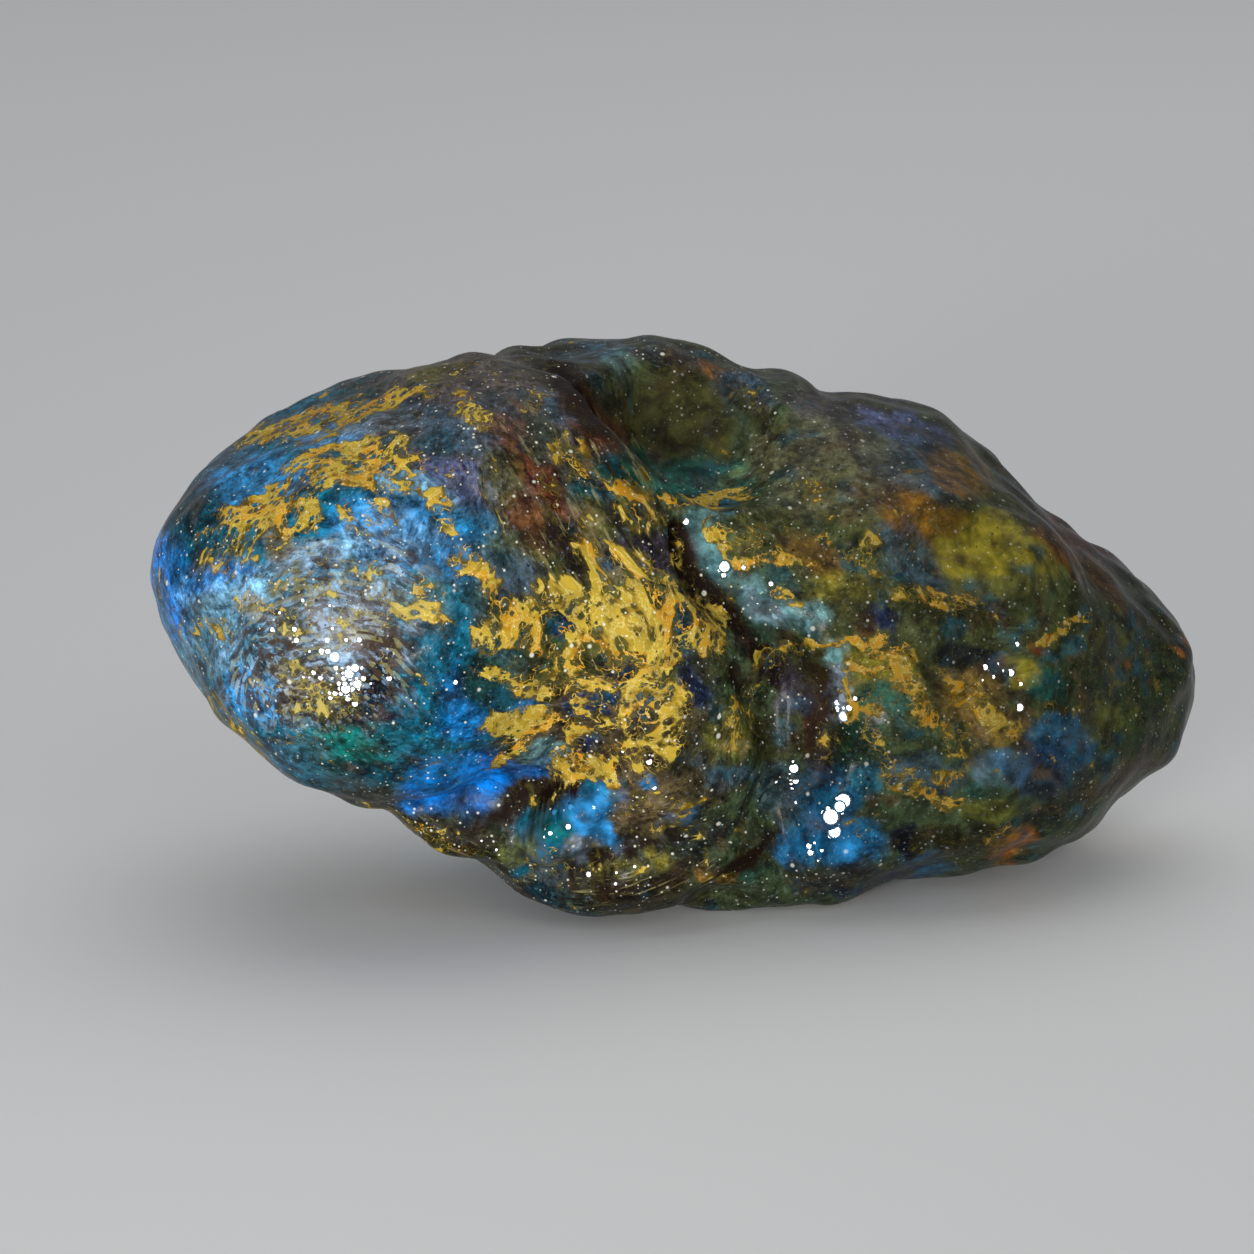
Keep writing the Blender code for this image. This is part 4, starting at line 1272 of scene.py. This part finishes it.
# %% Write shader maths as expressions
class Wire:
    """A node's output.  An operator between wires, or a wire and a number, adds a Math node."""

    def __init__(self, graph, socket):
        self.graph = graph
        self.socket = socket

    def maths(self, operation, *values):
        return self.graph.node("ShaderNodeMath", {"operation": operation}, dict(enumerate(values)))

    def __add__(self, other):
        return self.maths("ADD", self, other)

    __radd__ = __add__

    def __sub__(self, other):
        return self.maths("SUBTRACT", self, other)

    def __rsub__(self, other):
        return self.maths("SUBTRACT", other, self)

    def __mul__(self, other):
        return self.maths("MULTIPLY", self, other)

    __rmul__ = __mul__

    def __abs__(self):
        return self.maths("ABSOLUTE", self)


class Graph:
    """The nodes of one material."""

    def __init__(self, name):
        self.material = bpy.data.materials.new(name)
        self.material.use_nodes = True
        self.tree = self.material.node_tree
        self.tree.nodes.clear()

    def node(self, kind, settings, values, output=0):
        made = self.tree.nodes.new(kind)
        for name, value in settings.items():
            setattr(made, name, value)
        for key, value in values.items():
            if isinstance(value, Wire):
                self.tree.links.new(value.socket, made.inputs[key])
            else:
                made.inputs[key].default_value = value
        return Wire(self, made.outputs[output]) if made.outputs else None


amber = Graph("blue_amber")
print("operators:", [name for name, part in vars(Wire).items() if callable(part)][2:])

# %% [markdown]
# On top of those come the few patterns that this resin needs: clouds of noise, the distance to
# scattered cell centres, a soft threshold, a mix of two colours, and a colour made lighter or
# darker.  Every noise of the material is listed here, with its scale, its detail and its
# roughness.

# %% Name the patterns
NOISES = {
    "ripple": (1.6, 1.0, 0.5), "clouds": (0.9, 3.0, 0.5), "flecks": (3.0, 4.0, 0.7),
    "veins": (0.8, 3.0, 0.5), "rings": (1.3, 4.0, 0.6), "worms": (1.7, 2.0, 0.5),
    "flow_lines": (1.5, 4.0, 0.6), "film": (1.2, 4.0, 0.62), "strands": (0.9, 3.0, 0.55),
    "tone": (0.8, 5.0, 0.65), "cream_threads": (1.6, 4.0, 0.6), "grain": (0.9, 4.0, 0.6),
}
NOISE_MIDDLE = 0.5
MIX_FACTOR, MIX_FIRST, MIX_SECOND, MIX_RESULT = 0, 6, 7, 2


def stored(name, output="Fac"):
    """What was stored on the skin's vertices under a name."""
    return amber.node("ShaderNodeAttribute", {"attribute_name": name}, {}, output)


def noise(place, name, output=0):
    scale, detail, roughness = NOISES[name]
    values = {"Vector": place, "Scale": scale, "Detail": detail, "Roughness": roughness}
    return place.graph.node("ShaderNodeTexNoise", {}, values, output)


def wandering_line(place, name):
    """How far a noise is from its middle value, which is nothing along thin wandering lines."""
    return abs(noise(place, name) - NOISE_MIDDLE)


def cells(place, scale):
    values = {"Vector": place, "Scale": scale}
    return place.graph.node("ShaderNodeTexVoronoi", {"feature": "F1"}, values)


def cell_random(distance, part="Red"):
    """A random number for each cell: one part of the Color output beside its distance."""
    colour = Wire(distance.graph, distance.socket.node.outputs["Color"])
    return distance.graph.node("ShaderNodeSeparateColor", {}, {"Color": colour}, part)


def over(value, start, end, least=0.0, most=1.0):
    """From least to most, smoothly, as the value goes from start to end, up or down."""
    values = {"Value": value, "From Min": start, "From Max": end, "To Min": least, "To Max": most}
    settings = {"interpolation_type": "SMOOTHSTEP"}
    return value.graph.node("ShaderNodeMapRange", settings, values)


def blend(share, first, second):
    values = {MIX_FACTOR: share, MIX_FIRST: first, MIX_SECOND: second}
    return share.graph.node("ShaderNodeMix", {"data_type": "RGBA"}, values, MIX_RESULT)


def vector(operation, first, second):
    return first.graph.node("ShaderNodeVectorMath", {"operation": operation}, {0: first, 1: second})


def scaled(place, factor):
    values = {0: place, "Scale": factor}
    return place.graph.node("ShaderNodeVectorMath", {"operation": "SCALE"}, values)


def shade(name):
    return (*linear(name), 1.0)


print("a bark shade is", [round(float(part), 3) for part in shade("bark")])

# %% [markdown]
# The crust's edges are made from distances to scattered cell centres.  Far from every centre the
# distance is high, and those places form a net with pointed corners and hollow sides, which is just
# how a brittle film flakes.  Round windows and holes are cut as well, each as wide as its cell's
# random number says.  Where more crust is left, the threshold is lower and the windows close.

# %% Break the crust into a lace
WIDE_CELLS = 0.55
FINE_CELLS = 1.7
WIDE_SHARE, FINE_SHARE, FILM_SHARE = 0.46, 0.26, 0.70
WINDOWS = (0.8, 0.90, 1.40)
HOLES = (0.5, 0.62, 1.62)
LACE_TOP = 0.70
LACE_FALL = 0.64
STRAND_WIDTH = 0.030
STRAND_START = 0.16
STRAND_STEEPNESS = 10.0


def cut(distance, random, rule):
    """steepness * (distance - size * random number * (closed - crust left))."""
    steepness, size, closed = rule
    return steepness * (distance - size * random * (closed - left))


flakes = stored("flake_place", "Vector")
left = stored("crust_left")
wide, fine = cells(flakes, WIDE_CELLS), cells(flakes, FINE_CELLS)
plates, chips = cell_random(wide), cell_random(fine)
film = noise(flakes, "film") - NOISE_MIDDLE
lace = WIDE_SHARE * wide + FINE_SHARE * fine + FILM_SHARE * film + LACE_FALL * left - LACE_TOP
lace = lace.maths("MINIMUM", lace, cut(wide, plates, WINDOWS))
lace = lace.maths("MINIMUM", lace, cut(fine, chips, HOLES))
strand_width = STRAND_WIDTH * (left - STRAND_START)
strands = STRAND_STEEPNESS * (strand_width - wandering_line(flakes, "strands"))
lace = lace.maths("MAXIMUM", lace, strands)
print("the lace takes", len(amber.tree.nodes), "nodes")

# %% [markdown]
# Now the resin itself.  The painted colour is only the start.  Clouds, flecks and the crust's
# chips make it lighter and darker, pale flecks lie on it, and fine veins of ochre cross it near the
# crust.  Such a colour goes on as a glaze, listed with the two values of its pattern between which
# it sets in, and with its strength.  A glaze whose second value is the lower one lies where the
# pattern is low.

# %% Cloud and fleck the resin
PALETTE.update({
    "chalk": (168, 200, 234), "worm": (66, 52, 42), "thread": (146, 138, 92),
    "speck_and_glint": (234, 232, 212), "ochre": (178, 150, 52), "orange_ochre": (196, 138, 32),
    "deep_ochre": (112, 90, 32), "film": (90, 84, 38), "cream": (222, 204, 122),
    "flake_shadow": (52, 34, 14), "crease_shade": (30, 18, 9), "pit": (6, 7, 9),
})
GLAZES = {
    "vein": ("deep_ochre", 0.022, 0.010, 0.65),
    "ring": ("chalk", 0.52, 0.64, 0.45), "ring_gap": ("ink", 0.42, 0.34, 0.70),
    "worm": ("worm", 0.54, 0.60, 0.75), "brown_shard": ("worm", 0.22, 0.20, 0.80),
    "straw_shard": ("straw", 0.82, 0.84, 0.36), "crease_shade": ("crease_shade", 0.12, 0.85, 1.0),
    "pale_line": ("thread", 0.58, 0.68, 0.55), "dark_line": ("dark_bark", 0.45, 0.34, 0.80),
}
RIPPLE_REACH = 0.28
CLOUD_LIGHT = (0.30, 0.70, 0.42, 1.62)
FLECK_LIGHT = (0.30, 0.70, -0.55, 0.60)
CHIP_LIGHT = (0.0, 1.0, -0.30, 0.30)
PALE_FLECK = (0.59, 0.68)
FLECKS_ON_RESIN = 0.16
FLECKS_ON_FROST = 0.40
VEIN_CRUST = (0.2, 0.6)


def glaze(colour, name, pattern, where=1.0):
    """The colour mixed with a glaze's own, by strength * how far it has set in * where."""
    own, start, end, strength = GLAZES[name]
    return blend(strength * over(pattern, start, end) * where, colour, shade(own))


wander = stored("wander_place", "Vector")
push = vector("SUBTRACT", noise(wander, "ripple", "Color"), (NOISE_MIDDLE,) * 3)
ripple = vector("ADD", wander, scaled(push, RIPPLE_REACH))
fleck = noise(ripple, "flecks")
lively = 1.0 - stored("calm")
frost = stored("frosted")
resin = scaled(stored("resin_paint", "Color"), over(noise(wander, "clouds"), *CLOUD_LIGHT))
light = over(fleck, *FLECK_LIGHT) + over(chips, *CHIP_LIGHT)
resin = scaled(resin, lively * light + 1.0)
pale = over(fleck, *PALE_FLECK) * (FLECKS_ON_RESIN * lively + FLECKS_ON_FROST * frost)
resin = blend(pale, resin, shade("chalk"))
resin = glaze(resin, "vein", wandering_line(ripple, "veins"), over(left, *VEIN_CRUST))
print(len(PALETTE), "colours now, and", len(amber.tree.nodes), "nodes")

# %% [markdown]
# The frosted nose of the head gets pale rings with dark gaps, brown worms, and shards that lie
# along the rings, some brown and some straw.  The flows get drawn-out lines, pale and dark, and the
# creases and seams are darkened with their depth as painted shade.

# %% Glaze the frost, the flows and the creases
SHARD_SCALE = 2.6
ring_space = stored("ring_place", "Vector")
rings = noise(ring_space, "rings")
shards = cell_random(cells(ring_space, SHARD_SCALE))
for name, pattern in (("ring", rings), ("worm", noise(ripple, "worms")), ("ring_gap", rings),
                      ("straw_shard", shards), ("brown_shard", shards)):
    resin = glaze(resin, name, pattern, frost)
flow_lines = noise(stored("flow_place", "Vector"), "flow_lines")
for name in ("pale_line", "dark_line"):
    resin = glaze(resin, name, flow_lines, stored("flowing"))
# Creases and seams are darkened with their depth: painted shade.
crease_shade = stored("creased")
resin = glaze(resin, "crease_shade", crease_shade)
print("with the resin there are", len(amber.tree.nodes), "nodes")

# %% [markdown]
# The crust is olive ochre at its thin edges and golden where it is thick, each plate more or less
# orange, with cream along fine threads.  On the frost it is paler.  Towards the tail, in the basin
# and on the crown's band it is duller, more orange and darker; towards the tail that darkening is
# painted shade.

# %% Colour the crust
ORANGE_PLATES = (0.4, 1.1)
ORANGE_WHERE_DULL = 0.4
THICK = (0.42, 0.62)
THICKNESS_OF_LACE = 0.8
CREAM_THREAD = (0.04, 0.0)
CREAM_STRENGTH = 0.60
STRAW_ON_FROST = 0.50
CRUST_LIGHT = (0.36, 0.64, 0.78, 1.20)
DULL_AND_SHADE_DARKENING = 0.54
crust_dull_and_shade = stored("dull_and_shaded")
tone = noise(flakes, "tone")
orange = over(ORANGE_WHERE_DULL * crust_dull_and_shade + plates, *ORANGE_PLATES)
golden = blend(orange, shade("ochre"), shade("orange_ochre"))
thick = over(tone + THICKNESS_OF_LACE * lace, *THICK)
flake = blend(thick, shade("deep_ochre"), golden)
thread = over(wandering_line(flakes, "cream_threads"), *CREAM_THREAD)
flake = blend(CREAM_STRENGTH * thread, flake, shade("cream"))
flake = blend(STRAW_ON_FROST * frost, flake, shade("straw"))
# darker where dull, which towards the tail is painted shade
flake = scaled(flake, over(tone, *CRUST_LIGHT) * (1.0 - DULL_AND_SHADE_DARKENING * crust_dull_and_shade))
print("with the crust there are", len(amber.tree.nodes), "nodes")

# %% [markdown]
# Last come the specks and pits: scattered dots, each in its own random cell.  The pale specks are
# partly pale grains of the resin and partly painted glints.  A cell's first random number says
# whether its dot is a pale speck, a dark pit or nothing, and its second says how large it is, which
# keeps the dots from looking like a grid.  Each kind of dot is listed with its cells in a
# millimetre, its radius in cells, the number above which it is a speck and the one below which it
# is a pit.

# %% Scatter specks and pits
MILLIMETRES = 1000.0
DOTS = ((0.85, 0.17, 0.66, 0.10), (1.6, 0.18, 0.50, 0.16), (2.7, 0.23, 0.45, 0.22))
DOT_OUTSIDE = 0.25
DOT_INSIDE = -0.4
CHANCE_FADE = 0.02
place = scaled(amber.node("ShaderNodeTexCoord", {}, {}, "Object"), MILLIMETRES)
speck_and_glint, pit = 0.0, 0.0
for scale, radius, speck_and_glint_from, pit_to in DOTS:
    distance = cells(place, scale)
    chance = cell_random(distance)
    edge = distance - radius * cell_random(distance, "Green")
    dot = over(edge, DOT_OUTSIDE * radius, DOT_INSIDE * radius)
    speck_and_glint = over(chance, speck_and_glint_from, speck_and_glint_from + CHANCE_FADE) * dot + speck_and_glint
    pit = over(chance, pit_to + CHANCE_FADE, pit_to) * dot + pit
speck_and_glint = speck_and_glint * stored("speck_and_glint_share")
print("with the dots there are", len(amber.tree.nodes), "nodes")

# %% [markdown]
# The layers go on in the order in which they lie on the lump: a stain round the crust, the crust
# with a painted shadow round its rim, the pale specks, which are partly painted glints, and the
# pits.  Crust and creases are rougher than bare resin, and only the beads have a full wet coat.
# The glow is a weak light of the resin's own colour.

# %% Assemble the amber material
LACE_EDGE = 0.02
SHADOW_RIM_WIDTH = 0.05
STAIN_WIDTH = 0.13
SHADOW_RIM_STRENGTH = 0.7
STAIN_STRENGTH = 0.50
SPECK_AND_GLINT_STRENGTH = 0.80
PIT_STRENGTH = 0.85
ROUGHNESS, CRUST_ROUGHNESS, CREASE_ROUGHNESS = 0.32, 0.28, 0.34
SKIN_COAT = 0.04
crust = over(lace, 0.0, LACE_EDGE)
# A painted shadow runs round the rim of every flake of crust.
flake = blend(SHADOW_RIM_STRENGTH * over(lace, SHADOW_RIM_WIDTH, 0.0), flake, shade("flake_shadow"))
colour = blend(STAIN_STRENGTH * over(lace, -STAIN_WIDTH, 0.0), resin, shade("film"))
colour = blend(crust, colour, flake)
colour = blend(SPECK_AND_GLINT_STRENGTH * speck_and_glint, colour, shade("speck_and_glint"))
colour = blend(PIT_STRENGTH * pit, colour, shade("pit"))
grain = noise(place, "grain")
bump = amber.node("ShaderNodeBump", {}, {"Strength": 0.55, "Distance": 0.00021, "Height": grain})
surface = amber.node("ShaderNodeBsdfPrincipled", {}, {
    "Base Color": colour,
    "Roughness": ROUGHNESS + CRUST_ROUGHNESS * crust + CREASE_ROUGHNESS * crease_shade,
    "Specular IOR Level": 0.10,
    "Coat Weight": SKIN_COAT * (1.0 - crust) * (1.0 - crease_shade) + stored("wet"),
    "Coat Roughness": 0.03,
    "Coat IOR": 1.42,
    "Emission Color": scaled(resin, stored("glowing")),
    "Emission Strength": 0.16,
    "Normal": bump,
})
amber.node("ShaderNodeOutputMaterial", {}, {"Surface": surface})
amber_skin.data.materials.append(amber.material)
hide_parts("amber")
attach(amber_skin, "root")
print("amber material has", len(amber.tree.nodes), "nodes")

# %% [markdown]
# The lump lies on a plain pale floor, big enough that no edge shows from any side.  The floor is a
# stage, not a part of the object.

# %% Lay the floor
FLOOR_SIDE = 4.0
FLOOR_DROP = 0.00003
FLOOR_COLOUR = (0.80, 0.80, 0.79, 1.0)
FLOOR_ROUGHNESS = 0.75
half = FLOOR_SIDE / 2.0
corners = [(x * half, y * half, -FLOOR_DROP) for x, y in ((-1, -1), (1, -1), (1, 1), (-1, 1))]
floor_mesh = bpy.data.meshes.new("floor")
floor_mesh.from_pydata(corners, [], [(0, 1, 2, 3)])
floor = bpy.data.objects.new("floor", floor_mesh)
bpy.context.scene.collection.objects.link(floor)
paper = Graph("pale_paper")
values = {"Base Color": FLOOR_COLOUR, "Roughness": FLOOR_ROUGHNESS}
paper_surface = paper.node("ShaderNodeBsdfPrincipled", {}, values)
paper.node("ShaderNodeOutputMaterial", {}, {"Surface": paper_surface})
floor_mesh.materials.append(paper.material)
print("floor is", FLOOR_SIDE, "m across")

# %% [markdown]
# The light is soft studio light: a pale surround, a broad soft box above and behind, a weak broad
# fill in front, and one small lamp near the camera, low and to its left.  The small lamp is what
# draws the tight wet glints on the nose and the knob.  A narrow spread keeps most of its light on
# the lump, as a grid in front of a studio lamp does.  Each lamp is listed with its place and its
# width in metres, its power in watts and its spread in degrees.

# %% Set the lights
SURROUND = (0.92, 0.95, 1.0, 1.0)
SURROUND_STRENGTH = 0.30
LAMPS = {
    "key": (KEY_PLACE, 0.097, 0.072, 40.0),
    "soft_box": ((0.10, 0.25, 0.90), 1.20, 2.6, 180.0),
    "front_fill": ((0.40, -0.70, 0.45), 0.80, 1.0, 180.0),
}
LAMP_AIM = np.array([0.0, 0.0, 0.017])
world = bpy.data.worlds.new("studio")
world.use_nodes = True
background = world.node_tree.nodes["Background"]
background.inputs["Color"].default_value = SURROUND
background.inputs["Strength"].default_value = SURROUND_STRENGTH
bpy.context.scene.world = world


def facing_turn(place, aim):
    """The turn that points an object's -Z axis from its place to its aim, with +Y up."""
    return Vector(aim - np.array(place)).to_track_quat("-Z", "Y").to_euler()


for name, (place, size, power, spread) in LAMPS.items():
    lamp = bpy.data.lights.new(name, "AREA")
    lamp.shape = "DISK"
    lamp.size = size
    lamp.energy = power
    lamp.spread = np.radians(spread)
    lamp_object = bpy.data.objects.new(name, lamp)
    lamp_object.location = place
    lamp_object.rotation_euler = facing_turn(place, LAMP_AIM)
    lamp_object.visible_camera = False
    bpy.context.scene.collection.objects.link(lamp_object)
print("lamps:", ", ".join(LAMPS))

# %% [markdown]
# The camera stands where the picture maths put it.  A long lens from some distance keeps the lump's
# ends from bulging.  The plain view transform keeps the blues as saturated as they were painted.

# %% Set the camera and finish
NEAREST_SHOWN = 0.01
camera_data = bpy.data.cameras.new("camera")
camera_data.lens = CAMERA_LENS
camera_data.sensor_width = CAMERA_SENSOR
camera_data.clip_start = NEAREST_SHOWN
camera = bpy.data.objects.new("camera", camera_data)
camera.location = (CAMERA_PLACE - FOOT_MIDDLE) * UNIT
camera.rotation_euler = facing_turn(camera.location, (CAMERA_TARGET - FOOT_MIDDLE) * UNIT)
bpy.context.scene.collection.objects.link(camera)
bpy.context.scene.camera = camera
bpy.context.scene.view_settings.view_transform = "Standard"
